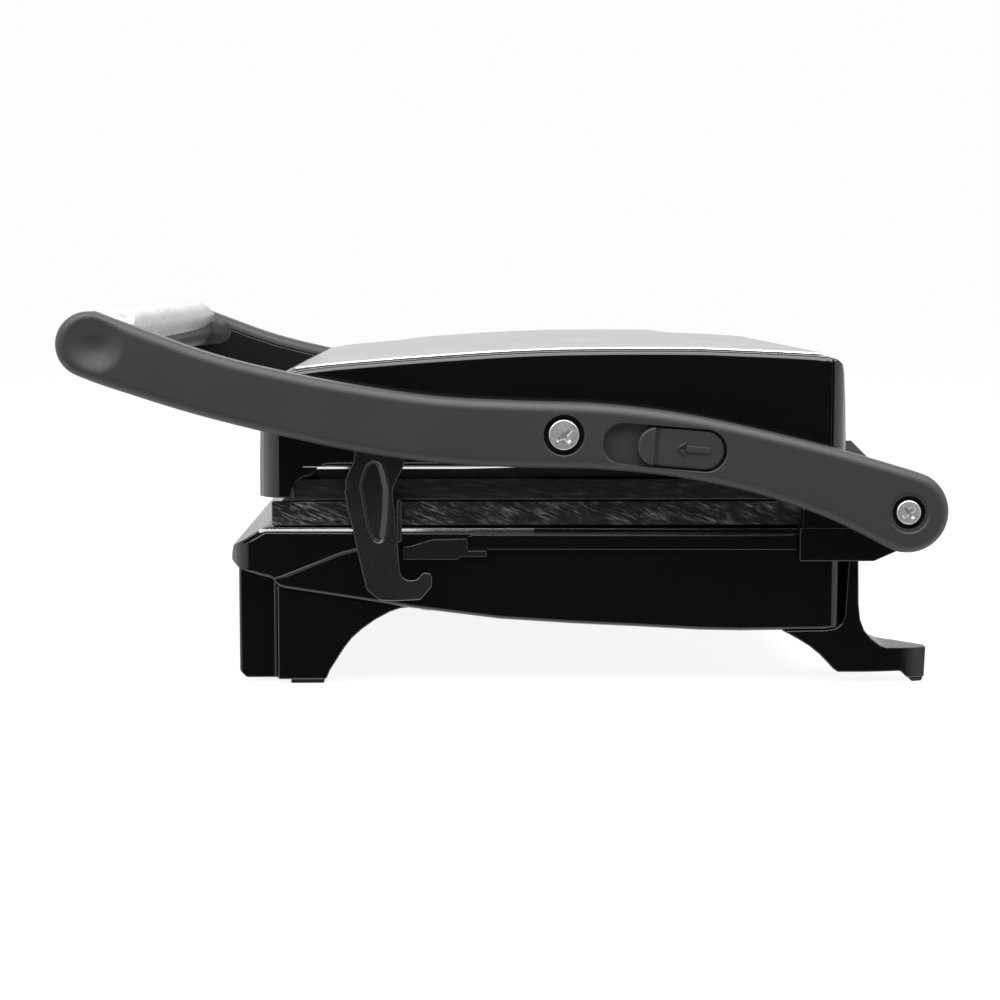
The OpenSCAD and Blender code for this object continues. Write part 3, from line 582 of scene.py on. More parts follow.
# ---------------------------------------------------------------- outlines in the side plane, as (y, z)

def circle_outline(centre, radius, count=64):
    return [Vector((centre[0] + radius * math.cos(2 * math.pi * i / count),
                    centre[1] + radius * math.sin(2 * math.pi * i / count))) for i in range(count)]


def from_front(points):
    """A closed line started at its front tip."""
    first = min(range(len(points)), key=lambda i: points[i].x)
    return points[first:] + points[:first]


def spread(points, step):
    """A closed line resampled evenly, with an even count, on a smooth curve through its points."""
    count = len(points)
    dense = []
    for i in range(count):
        p0, p1, p2, p3 = (points[(i + k) % count] for k in (-1, 0, 1, 2))
        for k in range(8):
            t = k / 8
            dense.append(0.5 * (2 * p1 + (p2 - p0) * t + (2 * p0 - 5 * p1 + 4 * p2 - p3) * t * t
                                + (3 * p1 - p0 - 3 * p2 + p3) * t ** 3))
    lengths = [(dense[(i + 1) % len(dense)] - dense[i]).length for i in range(len(dense))]
    number = max(12, 2 * round(sum(lengths) / step / 2))
    pace, made, i, start = sum(lengths) / number, [], 0, 0.0
    for k in range(number):
        while start + lengths[i] < k * pace:
            start += lengths[i]
            i += 1
        t = (k * pace - start) / max(lengths[i], 1e-9)
        made.append(dense[i].lerp(dense[(i + 1) % len(dense)], t))
    return made


def relaxed(points, step, passes):
    """A closed line resampled evenly along its straight parts, with its corners averaged."""
    made = []
    for a, b in around(points):
        parts = max(1, round((b - a).length / step))
        made += [a.lerp(b, k / parts) for k in range(parts)]
    for _ in range(passes):
        made = [(made[i - 1] + 2 * p + made[(i + 1) % len(made)]) / 4 for i, p in enumerate(made)]
    return made


def around(points):
    """The sides of a closed line, as pairs of its points."""
    return zip(points, points[1:] + points[:1])


def area_sign(points):
    """1 for a line that runs anticlockwise, or -1."""
    return math.copysign(1, sum(a.x * b.y - b.x * a.y for a, b in around(points)))


def inset(points, distance):
    """The closed line moved inwards by distance."""
    turn, count = area_sign(points), len(points)
    made = []
    for i in range(count):
        tangent = (points[(i + 1) % count] - points[i - 1]).normalized()
        made.append(points[i] + Vector((-tangent.y, tangent.x)) * turn * distance)
    return made


def side_outline(node, x):
    """The longest outline of a node's flat face at x, as (y, z) points."""
    bm = clean_bmesh(node)
    flat = {f for f in bm.faces
            if abs(f.normal.x) > 0.99 and abs(f.calc_center_median().x / MM - x) < 0.05}
    border = [e for e in bm.edges if sum(f in flat for f in e.link_faces) == 1]
    edges_at = {}
    for edge in border:
        for vert in edge.verts:
            edges_at.setdefault(vert, []).append(edge)
    loops, left = [], set(border)
    while left:
        edge = min(left, key=lambda e: e.index)
        vert, line = edge.verts[0], []
        while edge in left:
            left.discard(edge)
            line.append(Vector((vert.co.y, vert.co.z)) / MM)
            vert = edge.other_vert(vert)
            onward = [e for e in edges_at[vert] if e in left]
            if not onward:
                break
            edge = onward[0]
        loops.append(line)
    bm.free()
    return max(loops, key=lambda loop: sum((a - b).length for a, b in around(loop)))


def at_x(points, x):
    return [(x, p.x, p.y) for p in points]


def rounding(radius, steps=6):
    """(inset, depth) pairs of a quarter round, from the flat to the wall."""
    return [(radius * (1 - math.sin(a)), radius * (1 - math.cos(a)))
            for a in (math.pi / 2 * i / steps for i in range(steps + 1))]


def round_over(outline, x, radius, steps, way=-1, start=0.0):
    """Rings of a quarter round from the wall to the flat at x, which faces against way."""
    return [at_x(inset(outline, start + inward), x + way * down)
            for inward, down in reversed(rounding(radius, steps))]


def skyline(node, xs, upward, limit=None):
    """The top of a node, or its underside, as (y, z) points from front to rear.

    It is the outermost of what rays find at each of the places xs, leaving out hits beyond limit."""
    low, high = box_mm(node)
    tree = BVHTree.FromObject(NODES[node], bpy.context.evaluated_depsgraph_get())
    count = round((high.y - low.y) / 0.8)
    line = []
    for i in range(count + 1):
        y = low.y + 0.02 + (high.y - low.y - 0.04) * i / count
        found = []
        for x in xs:
            start = Vector((x, y, -5 if upward else high.z + 5)) * MM
            hit = tree.ray_cast(start, Vector((0, 0, 1 if upward else -1)))[0]
            if hit and not (limit and hit.z / MM > limit):
                found.append(hit.z / MM)
        line.append((y, (min(found) if upward else max(found)) if found else None))
    known = [i for i, (y, z) in enumerate(line) if z is not None]
    return [(y, line[min(known, key=lambda k: abs(k - i))][1]) for i, (y, z) in enumerate(line)]


def eased(line, reach, keep):
    """A line of (y, z) points with its small kinks averaged away, except within keep of its ends."""
    made = []
    for i, (y, z) in enumerate(line):
        if y - line[0][0] < keep or line[-1][0] - y < keep:
            made.append((y, z))
        else:
            near = [q for p, q in line[max(0, i - reach):i + reach + 1]]
            made.append((y, sum(near) / len(near)))
    return made


def height_at(line, y):
    """Height of a line of (y, z) points at y."""
    i = 1
    while i < len(line) - 1 and line[i][0] < y:
        i += 1
    (y0, z0), (y1, z1) = line[i - 1], line[i]
    t = clamped((y - y0) / (y1 - y0))
    return z0 + (z1 - z0) * t


ROUND_STEPS = 6
SKIN_GAP = 0.02


def corner(radius, crease=0.0):
    """Inset of a rounded edge as a function of depth from the side face.

    crease is the angle left at that face, in degrees."""
    edge = math.cos(math.radians(crease))

    def inset_at(depth):
        c = max(0.0, edge - depth / radius)
        return radius * (1 - math.sqrt(1 - c * c))

    return inset_at


def slab(name, half_width, top, bottom, rounds, depths):
    """A block across the width just inside two side profiles, with its own rounding at each edge.

    rounds gives the inset of the front, rear, top and bottom at a depth from the side face."""
    half_width -= SKIN_GAP
    top = [(y, z - SKIN_GAP) for y, z in top]
    bottom = [(y, z + SKIN_GAP) for y, z in bottom]
    stations = [y for y, z in top]
    front, rear = stations[0], stations[-1]
    side = []
    for depth in sorted(depths):
        ahead, behind, above, below = (rounds[k](depth) for k in ("front", "rear", "top", "bottom"))
        ys = [min(max(y, front + ahead), rear - behind) for y in stations]
        upper = [(y, height_at(top, y) - above) for y in ys]
        lower = [(y, height_at(bottom, y) + below) for y in ys]
        side.append((depth, upper + lower[::-1]))
    rings = [[(half_width - depth, y, z) for y, z in ring] for depth, ring in side]
    rings += [[(depth - half_width, y, z) for y, z in ring] for depth, ring in reversed(side)]
    return loft(name, rings)


def steps_to(radius, crease=0.0):
    """Depths that follow a quarter round, which starts at the angle crease."""
    edge = math.cos(math.radians(crease))
    return {round(radius * (edge - math.cos(math.radians(crease + (90 - crease) * i / ROUND_STEPS))), 4)
            for i in range(ROUND_STEPS + 1)}


def rounds_of(corners):
    """What slab() needs for edges with these (radius, crease): their insets and their depths."""
    return ({edge: corner(*given) for edge, given in corners.items()},
            set().union(*(steps_to(*given) for given in corners.values())))


def bead(name, path, x, radius, taper):
    """A half-round ridge on a side face at x, along a line of (y, z) points, thin at its ends."""
    points = [Vector(p) for p in path]
    lengths = [0.0]
    for a, b in zip(points, points[1:]):
        lengths.append(lengths[-1] + (b - a).length)
    rings, root = [], 0.4
    count = max(8, round(lengths[-1] / 2))
    for k in range(count + 1):
        along = lengths[-1] * k / count
        i = max(j for j in range(len(points) - 1) if lengths[j] <= along or j == 0)
        t = (along - lengths[i]) / (lengths[i + 1] - lengths[i])
        centre = points[i].lerp(points[i + 1], t)
        run = (points[i + 1] - points[i]).normalized()
        across = Vector((-run.y, run.x))
        thin = min(1.0, along / taper, (lengths[-1] - along) / taper)
        size = radius * math.sqrt(max(0.02, thin))
        ring = [centre + across * size * math.cos(math.pi * a / 8) for a in range(9)]
        rings.append([(x + size * math.sin(math.pi * a / 8), p.x, p.y) for a, p in enumerate(ring)]
                     + [(x - root, p.x, p.y) for p in (ring[8], ring[0])])
    return loft(name, rings)


def pocket_cutter(name, outline, floor_x, face_x, lip=0.5):
    """A cutter for a recess in a face at face_x, with a rounded lip."""
    above, chamfer = 3, 0.25
    rings = [at_x(inset(outline, -lip), face_x + above)]
    for i in range(5):
        a = math.pi / 2 * (1 - i / 4)
        rings.append(at_x(inset(outline, -lip * (1 - math.cos(a))), face_x - lip * (1 - math.sin(a))))
    rings.append(at_x(outline, floor_x + chamfer))
    rings.append(at_x(inset(outline, chamfer), floor_x))
    return loft(name, rings)


# ---------------------------------------------------------------- handle

ARM_ROUND_OUT = 3.8
ARM_ROUND_IN = 4.0
ARM_STEPS = 7
COVER_SEAM = 4.6
RECESS_FLOOR = ARM_OUT - 5.5
SCOOP_AT = Vector((-147.6, 128.0))
SCOOP_R = 11.5
SCOOP_DEPTH = 3.4


def scoop(y, z):
    """Depth of the thumb scoop at the front end of an arm."""
    away = (Vector((y, z)) - SCOOP_AT).length / SCOOP_R
    return SCOOP_DEPTH * (1 - away * away) ** 2 if away < 1 else 0.0


def clear_inside(point, outline, gap):
    """Whether a point is inside a closed line and at least gap from it."""
    inside = False
    for a, b in around(outline):
        if ((a.y > point.y) != (b.y > point.y)
                and point.x < a.x + (b.x - a.x) * (point.y - a.y) / (b.y - a.y)):
            inside = not inside
        run = b - a
        t = clamped((point - a).dot(run) / max(run.length_squared, 1e-9))
        if (a + run * t - point).length < gap:
            return False
    return inside


def scooped_face(outline):
    """An arm's flat outer face with the scoop pressed into it."""
    points, step = list(outline), 0.7
    reach = round(SCOOP_R / step) + 1
    for j in range(-reach, reach + 1):
        for i in range(-reach, reach + 1):
            point = SCOOP_AT + Vector((i + 0.5 * (j % 2), j * 0.87)) * step
            if (point - SCOOP_AT).length < SCOOP_R and clear_inside(point, outline, 0.5):
                points.append(point)
    count = len(outline)
    edges = [(i, (i + 1) % count) for i in range(count)]
    verts, _, faces = delaunay_2d_cdt(points, edges, [], 1, 1e-5)[:3]
    pressed = [(ARM_OUT - scoop(p.x, p.y), p.x, p.y) for p in verts]
    return add_object("rough_face", mesh_from("rough_face", pressed, faces))


def slot_outline(grow, length, centre_u=0.0):
    """A stadium in the arm's side plane; u runs along the slide button's slot, towards the rear."""
    radius, half = SLOT_HEIGHT / 2 + grow, length / 2 - SLOT_HEIGHT / 2
    points = []
    for end in (1, -1):
        for i in range(97):
            a = -end * math.pi / 2 + math.pi * i / 96
            points.append((centre_u + end * half + radius * math.cos(a), radius * math.sin(a)))
    return [slot_point(u, v) for u, v in points]


BUTTON_LOW, BUTTON_HIGH = box_mm("slide_button")
SLIDE = Vector(JOINTS["release_slide"]["axis"]).normalized()
SLOT_ALONG = Vector((-SLIDE.y, -SLIDE.z))
SLOT_ACROSS = Vector((SLIDE.z, -SLIDE.y))
SLOT_CENTRE = Vector((58.0, 90.4))
SLOT_LENGTH, SLOT_HEIGHT = 45.2, 15.4
SLOT_DEPTH = 3.2
BUTTON_LENGTH = 32.8
BUTTON_GAP = 0.4
BUTTON_U = (SLOT_LENGTH - BUTTON_LENGTH) / 2 - 0.3


def slot_point(u, v):
    return SLOT_CENTRE + SLOT_ALONG * u + SLOT_ACROSS * v


# Round pockets in the right arm's outer face: centre, radius, floor, face and lip
ARM_POCKETS = [
    (HEAD_PIVOT, 7.4, RECESS_FLOOR, ARM_OUT, 0.45),
    (REAR_PIVOT, 6.1, RECESS_FLOOR, ARM_OUT, 0.3),
    (REAR_PIVOT, 7.5, ARM_OUT - 0.55, ARM_OUT, 0.4),
    (HEAD_PIVOT, 5.0, ARM_IN - 1, RECESS_FLOOR, 0.1),
    (REAR_PIVOT, 4.5, ARM_IN - 1, RECESS_FLOOR, 0.1),
]


def handle_arm(side):
    outline = spread(from_front(side_outline("handle_arm_right", ARM_OUT)), 1.6)
    rings = round_over(outline, ARM_OUT, ARM_ROUND_OUT, ARM_STEPS)[::-1]
    rings += round_over(outline, ARM_IN, ARM_ROUND_IN, ARM_STEPS, way=1)
    rings.append(at_x(inset(outline, COVER_SEAM - 0.25), ARM_IN))
    rings.append(at_x(inset(outline, COVER_SEAM), ARM_IN + 0.3))
    rings.append(at_x(inset(outline, COVER_SEAM), ARM_IN + 2.3))
    for ring in rings[:ARM_STEPS + 1]:
        ring[:] = [(x - scoop(y, z), y, z) for x, y, z in ring]
    face = scooped_face([Vector((y, z)) for x, y, z in rings[0]])
    body = welded(joined("rough_arm", [loft("rough_wall", rings, cap_start=False), face]))
    cutters = [pocket_cutter(f"cut_pocket_{i}", circle_outline(centre, radius), floor_x, face_x, lip)
               for i, (centre, radius, floor_x, face_x, lip) in enumerate(ARM_POCKETS)]
    if side == "right":
        slot = slot_outline(0, SLOT_LENGTH)
        cutters.append(pocket_cutter("cut_slot", slot, ARM_OUT - SLOT_DEPTH, ARM_OUT))
    arm = for_side(cut(body, cutters, "arm_" + side), side, "arm_shell_" + side)
    finish_piece(arm, "handle_arm_" + side)


def arm_cover(side):
    outline = spread(side_outline("handle_arm_right", ARM_OUT), 2.5)
    rim = COVER_SEAM + 0.25
    rings = [at_x(inset(outline, rim), ARM_IN + 2.1)]
    rings += round_over(outline, ARM_IN + 0.1, 0.6, 3, way=1, start=rim)
    rings.append(at_x(inset(outline, 9.5), ARM_IN + 0.1))
    holes = [pocket_cutter(f"cut_hole_{i}", circle_outline(centre, radius), ARM_IN - 2, ARM_IN + 1, 0.1)
             for i, (centre, radius) in enumerate(((HEAD_PIVOT, 5.3), (REAR_PIVOT, 4.8)))]
    plate = for_side(cut(loft("rough_cover", rings), holes, "cover_" + side), side, "arm_inner_" + side)
    finish_piece(plate, "arm_cover_" + side)


def screw(name, centre, under_x, top_x, head_r, shoulder_r, shoulder_x, thread_r, tip_x):
    """Pan-head screw along X with a cross recess, on the right side."""
    crown, rim, chamfer, point = 0.75, 0.55, 0.15, 0.4
    profile = [(tip_x, thread_r - point), (tip_x + point, thread_r), (shoulder_x, thread_r),
               (shoulder_x, shoulder_r), (under_x, shoulder_r), (under_x, head_r - chamfer),
               (under_x + chamfer, head_r), (top_x - crown, head_r)]
    for i in range(1, 6):
        a = math.pi / 2 * i / 5
        profile.append((top_x - crown + rim * math.sin(a), head_r - rim * (1 - math.cos(a))))
    profile += [(top_x - 0.12, head_r * 0.6), (top_x - 0.04, head_r * 0.35), (top_x, head_r * 0.1)]
    body = loft("rough_screw", [at_x(circle_outline(centre, r, 72), x) for x, r in profile])
    arm, half, deep = head_r * 0.62, head_r * 0.14, 1.9
    blade = [(arm, half * 0.75), (half, half * 1.15), (0, half * 1.15), (0, -half * 1.15),
             (half, -half * 1.15), (arm, -half * 0.75)]
    cutters = []
    for turn in (38, 128):
        c, s = math.cos(math.radians(turn)), math.sin(math.radians(turn))
        for index, flip in enumerate((1, -1)):
            def turned(long, wide):
                return [Vector((centre[0] + flip * (c * u * long - s * v * wide),
                                centre[1] + flip * (s * u * long + c * v * wide))) for u, v in blade]

            top, low = turned(1, 1), turned(0.8, 0.85)
            cutters.append(loft(f"cut_cross_{turn}_{index}", [
                at_x(top, top_x + 0.5), at_x(top, top_x - 0.15), at_x(low, top_x - deep)]))
    return cut(body, cutters, name)


def screw_pair(node, centre, shoulder_r, shoulder_x, thread_r, tip_x):
    low, high = box_mm(node)
    head_r = (high.z - low.z) / 2
    right = screw("screw_right", centre, high.x - 2, high.x, head_r,
                  shoulder_r, shoulder_x, thread_r, tip_x)
    finish_piece(both_sides(node + "_pair", right), node, sharp_degrees=40)


def button_height(u):
    """How far the button's face stands above its flat, at u from the button's front end."""
    crest, drop, end, high, deep = 6.4, 7.5, 13.0, 0.85, 0.95
    if u < crest:
        return high * math.sin(math.radians(35 + 55 * u / crest))
    if u < drop:
        return high - (high + deep) * (u - crest) / (drop - crest)
    t = min(1.0, (u - drop) / (end - drop))
    return -deep * (1 - t) ** 2


def raised_mark(name, points, face):
    """A flat mark standing on a face, from (u, v) points along and across the slide's recess."""
    outline = [slot_point(u, v) for u, v in points]
    root, height, slope = 0.3, 0.75, 0.5
    return loft(name, [at_x(outline, face - root), at_x(outline, face),
                       at_x(inset(outline, slope), face + height)])


def slide_button():
    face = BUTTON_HIGH.x - 0.85
    base = BUTTON_LOW.x + 3.3
    outline = slot_outline(-BUTTON_GAP, BUTTON_LENGTH, BUTTON_U)
    front_u = BUTTON_U - BUTTON_LENGTH / 2
    body = loft("rough_button", [at_x(outline, base)] + round_over(outline, face, 1.1, 5))
    bm = bmesh.new()
    bm.from_mesh(body.data)
    for i in range(1, 60):
        u = front_u + BUTTON_LENGTH * i / 60
        if i % 3 == 0 or u - front_u < 14:
            place = slot_point(u, 0)
            sliced(bm, (0, place.x * MM, place.y * MM), (0, SLOT_ALONG.x, SLOT_ALONG.y))
    for vert in bm.verts:
        if vert.co.x / MM > face - 1.3:
            u = (Vector((vert.co.y, vert.co.z)) / MM - SLOT_CENTRE).dot(SLOT_ALONG) - front_u
            vert.co.x += button_height(max(0.0, u)) * MM
    bm.to_mesh(body.data)
    bm.free()
    tip, tail, shaft, barb, stroke = BUTTON_U - 2.0, BUTTON_U + 10.7, 1.3, 2.7, 1.0
    points = [(tip + 3.7, shaft), (tip + 3.7, -shaft), (tail, -shaft), (tail, shaft)]
    marks = [raised_mark("arrow_shaft", points, face)]
    for side in (1, -1):
        points = [(tip, 0.0), (tip + 3.4, side * barb),
                  (tip + 4.2, side * (barb - stroke)), (tip + 1.7, 0.0)]
        marks.append(raised_mark(f"arrow_barb_{side}", points, face))
    finish_piece(joined("release_button_cap", [body] + marks), "slide_button", sharp_degrees=30)


def return_spring():
    """The button's spring coil, as a copy of its CAD mesh."""
    coil = add_object("return_spring_coil", NODES["button_spring"].data.copy())
    finish_piece(coil, "button_spring")
    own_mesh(coil)


# ---------------------------------------------------------------- top cover

def plan_outline(low, high, front_r, rear_r):
    """Rounded rectangle in plan, as (x, y)."""
    points = []
    corners = [(high.x - rear_r, high.y - rear_r, rear_r, 0),
               (low.x + rear_r, high.y - rear_r, rear_r, 90),
               (low.x + front_r, low.y + front_r, front_r, 180),
               (high.x - front_r, low.y + front_r, front_r, 270)]
    for x, y, radius, start in corners:
        points += [Vector((x + radius * math.cos(math.radians(start + 90 * i / 8)),
                           y + radius * math.sin(math.radians(start + 90 * i / 8)))) for i in range(9)]
    return points


def top_cover():
    low, high = box_mm("top_cover")
    roof = BVHTree.FromObject(NODES["top_cover"], bpy.context.evaluated_depsgraph_get())

    def roof_z(y):
        """Height of the cover's sheet beside its raised panel."""
        y = min(max(y, low.y + 0.4), high.y - 0.4)
        x = high.x - 6 if low.y + 8 < y < high.y - 8 else 60
        hit = roof.ray_cast(Vector((x * MM, y * MM, 0.2)), Vector((0, 0, -1)))
        return hit[0].z / MM

    spans = 60
    heights = [roof_z(low.y + (high.y - low.y) * i / spans) for i in range(spans + 1)]

    def sheet_z(y):
        t = (min(max(y, low.y), high.y) - low.y) / (high.y - low.y) * spans
        i = min(spans - 1, int(t))
        return heights[i] + (heights[i + 1] - heights[i]) * (t - i)

    def panel(x, y):
        """Height of the soft raised panel above the sheet."""
        edge_x, front, rear = 112.0, -64.0, 96.0
        rise_x, rise_y, rise_z = 70.0, 34.0, 2.7
        sx = clamped((edge_x - abs(x)) / rise_x)
        sy = clamped((y - front) / rise_y) * clamped((rear - y) / rise_y)
        return rise_z * smooth(sx) * smooth(sy)

    outline = relaxed(plan_outline(low, high, 12, 9), 2.5, 1)
    middle = Vector(((low.x + high.x) / 2, (low.y + high.y) / 2))
    flat = inset(outline, 2.0)
    edge = [(0.25, -0.9), (0.0, -0.6), (0.0, -0.45), (0.12, -0.2), (0.4, -0.03),
            (0.8, 0.0), (1.4, 0.0), (2.0, 0.0)]
    plans = [(inset(outline, inward), drop) for inward, drop in edge]
    plans += [([middle + (p - middle) * (1 - k / 42) for p in flat], 0.0)
              for k in range(1, 42)]
    rings = [[(p.x, p.y, sheet_z(p.y) + drop + panel(p.x, p.y)) for p in plan] for plan, drop in plans]
    finish_piece(loft("top_cover_sheet", rings, cap_start=False), "top_cover", sharp_degrees=50)


# ---------------------------------------------------------------- housings

def trimmed(outer, node, name):
    """A block with the hollows and holes of the CAD node that it stands for."""
    core = add_object("core_" + node, mesh_of(clean_bmesh(node), "core_" + node))
    return cut(outer, [core], name, "INTERSECT")


def block_cutter(name, low, high):
    rings = [[(x, low[1], low[2]), (x, high[1], low[2]), (x, high[1], high[2]), (x, low[1], high[2])]
             for x in (low[0], high[0])]
    return loft(name, rings)


def bright_strip(name, body, ends, high_z, x):
    """A bare metal edge on both sides, leaning inwards as it goes down from high_z and x.

    ends gives its (y, height)."""
    lean, thick = 0.45, 3
    rings = [[(x, y, high_z), (x - lean * tall, y, high_z - tall),
              (x - thick, y, high_z - tall), (x - thick, y, high_z)] for y, tall in ends]
    right = loft(name, rings)
    finish_extra(both_sides(name + "_pair", right), body, "satin_steel")


def upper_housing():
    low, high = box_mm("upper_housing")
    roof = eased(skyline("upper_housing", [100], False), 8, 9)
    edge = skyline("upper_housing", [high.x - 0.4], True)
    rounds, depths = rounds_of({"front": (14.2, 25), "rear": (9.9, 20),
                                "top": (2.4, 0), "bottom": (0.5, 0)})
    outer = slab("rough_head", high.x, roof, edge, rounds, depths)
    shell = trimmed(outer, "upper_housing", "head_shell")
    groove_y, half, deep = high.y - 6.4, 0.4, 0.7
    grooves = [block_cutter(f"cut_groove_{side}", (side * high.x - deep, groove_y - half, low.z - 1),
                            (side * high.x + deep, groove_y + half, high.z + 1)) for side in (-1, 1)]
    shell = cut(shell, grooves, "head_grooved")
    straight = [(y, z) for y, z in edge if z > 82 and -68 < y < 111]
    lip = bead("head_lip", [(y, z + 0.75) for y, z in (straight[0], straight[-1])], high.x, 0.85, 5)
    finish_piece(both_sides("upper_housing_shell", lip, shell), "upper_housing")
    bright_strip("plate_edge", "head", [(-74.3, 0.8), (-70, 1.0), (-15, 1.0), (12, 0.3)],
                 82.3, high.x + 0.1)


CREASE = [(-86.4, 40.1), (-81.5, 41.3), (-75.9, 43.5), (-68.5, 46.5), (-61.0, 49.5),
          (-54.7, 51.1), (-47.0, 52.6)]


def lower_housing():
    low, high = box_mm("lower_housing")
    rim = skyline("lower_housing", [124.5], False)
    under = skyline("lower_housing", [60, high.x - 0.5], True, limit=50)
    upper_edge, lower_edge, step = corner(0.8), corner(0.9), 1.1

    def rim_top(depth):
        """The rim has a lower outer edge and a raised inner one, each rounded."""
        return 1.9 + lower_edge(depth) if depth < step else upper_edge(depth - step)

    rounds, depths = rounds_of({"front": (10, 8), "rear": (9.9, 20), "bottom": (1.8, 0)})
    rounds["top"] = rim_top
    depths |= steps_to(0.9) | {step - 0.01} | {step + d for d in steps_to(0.8)}
    outer = slab("rough_base", high.x, rim, under, rounds, depths)
    shell = trimmed(outer, "lower_housing", "base_shell")
    crease = bead("base_crease", CREASE, high.x, 0.5, 6)
    finish_piece(both_sides("lower_housing_shell", crease, shell), "lower_housing")
    bright_strip("rim_edge", "base", [(low.y + 11, 1.5), (-70, 1.9), (11.2, 1.9)], 58.8, high.x - 0.3)


# ---------------------------------------------------------------- grip

GRIP_OUTER = 1.0
COVER_EDGE_Z = 128.0
# How far the grip's parts end up under the arm's upper edge
BAR_UNDER = 1.6
COVER_UNDER = 0.3
LINING_UNDER = 1.2


def grip_section():
    """The bar's section, closed, from its lowest point over the front and the top to the rear."""
    outline = spread(side_outline("grip_bar", ARM_IN), 0.8)
    if area_sign(outline) > 0:
        outline.reverse()
    lowest = min(range(len(outline)), key=lambda i: outline[i].y)
    return outline[lowest:] + outline[:lowest]


def ramp(value, low, high):
    """0 below low, 1 above high and smooth between."""
    return smooth(clamped((value - low) / (high - low)))


ARM_OUTLINE = side_outline("handle_arm_right", ARM_OUT)


def arm_top(y):
    """Height of an arm's upper edge at y."""
    found = [a.y + (b.y - a.y) * (y - a.x) / (b.x - a.x) for a, b in around(ARM_OUTLINE)
             if min(a.x, b.x) <= y <= max(a.x, b.x) and abs(b.x - a.x) > 1e-6]
    return max(found, default=0.0)


def to_arm(x, point, under):
    """A point of the grip's section, eased down near the ends to under the arm's upper edge."""
    drop = max(0.0, point.y - arm_top(point.x) + under)
    return Vector((point.x, point.y - drop * ramp(abs(x), ARM_IN - 13, ARM_IN - 1)))


def grip_bar():
    """The bar runs into both arms, with a fillet behind each end."""
    section, fillet = grip_section(), 9.0
    xs = [0, 60, 110, 124]
    xs += [ARM_IN - fillet + fillet * math.sin(math.radians(a)) for a in range(0, 91, 10)]
    xs.append(ARM_IN + 4)
    rings = []
    for x in [-x for x in reversed(xs[1:])] + xs:
        t = clamped((abs(x) - ARM_IN + fillet) / fillet)
        push = fillet * (1 - math.sqrt(1 - t * t))
        rings.append([(x, p.x + push * ramp(p.x, -149, -139) * ramp(p.y, 134.5, 128.5), p.y)
                      for p in (to_arm(x, p, BAR_UNDER) for p in section)])
    finish_piece(loft("grip_bar_body", rings), "grip_bar")


def grip_cover():
    """Steel sheet over the bar's front, top and rear; its rear edge arches up towards both ends."""
    section = grip_section()
    outer, inner = inset(section, -GRIP_OUTER), inset(section, -0.05)
    top = max(range(len(section)), key=lambda i: section[i].y)
    start = next(i for i in range(top) if section[i].y > 123.4)
    end_x = ARM_IN + 0.5

    def place(line, position):
        i = min(len(line) - 2, int(position))
        return line[i].lerp(line[i + 1], position - i)

    def last(x):
        """Where the cover's rear edge lies along the section at x."""
        edge = COVER_EDGE_Z + 3.2 * max(0.0, (abs(x) - 40) / 95) ** 2
        i = next(i for i in range(top, len(outer)) if outer[i].y < edge)
        return i - (edge - outer[i].y) / (outer[i - 1].y - outer[i].y)

    rings = []
    half = [0, 20, 40, 52, 64, 76, 86, 96, 104, 112, 118, 123, 127, 130, 132.5, 134.6,
            end_x - 0.3]
    for x in [-x for x in reversed(half[1:])] + half:
        end = last(x)
        stops = [start + (end - start) * k / 40 for k in range(41)]
        skin = [place(outer, stop) for stop in stops]
        lining = [place(inner, stop) for stop in reversed(stops)]
        rings.append(at_x([to_arm(x, p, COVER_UNDER) for p in skin]
                          + [to_arm(x, p, LINING_UNDER) for p in lining], x))
    finish_piece(loft("grip_cover_sheet", rings), "grip_cover", sharp_degrees=40)


# ---------------------------------------------------------------- storage latch

CHANNEL = [(-51.0, 83.6), (-53.6, 75.8), (-52.6, 70.0), (-51.2, 62.0), (-49.9, 57.5), (-48.4, 54.6),
           (-46.4, 53.7), (-44.4, 54.6), (-43.3, 57.0), (-42.4, 66.0), (-42.1, 74.0), (-43.2, 79.8),
           (-44.6, 83.4), (-47.8, 85.0)]
FLANGE = [(-39.8, 54.0), (-37.9, 54.6), (-37.9, 69.8), (-39.8, 70.3)]
HOOK = [(-59.0, 73.5), (-58.3, 68.6), (-56.4, 60.8), (-54.5, 51.3), (-52.2, 41.1), (-51.1, 36.7),
        (-46.4, 32.7), (-41.3, 32.4), (-31.1, 32.9), (-26.8, 37.8), (-26.8, 41.8), (-27.6, 43.0),
        (-29.9, 43.2), (-30.9, 42.4), (-31.7, 41.2), (-32.9, 40.4), (-35.8, 40.2), (-37.7, 41.4),
        (-38.7, 43.6), (-39.0, 47.3), (-39.3, 52.1), (-40.4, 66.0), (-41.2, 73.5)]


def latch_outline(x):
    """The CAD outline above the hook, and the hook's own."""
    points = side_outline("storage_latch", x)
    first = next(i for i in range(len(points)) if points[i].y > 74.5 >= points[i - 1].y)
    upper = [p for p in points[first:] + points[:first] if p.y > 74.5]
    if upper[0].x < upper[-1].x:
        upper.reverse()
    return [Vector(p) for p in HOOK] + upper


def sunk(path, left, right):
    """A pressed channel's floor: its line moved in by left, and by right on the rear side."""
    turn, count = area_sign(path), len(path)
    made = []
    for i in range(count):
        tangent = (path[(i + 1) % count] - path[i - 1]).normalized()
        inward = Vector((-tangent.y, tangent.x)) * turn
        made.append(path[i] + inward * (left + (right - left) * max(0.0, -inward.x)))
    return made


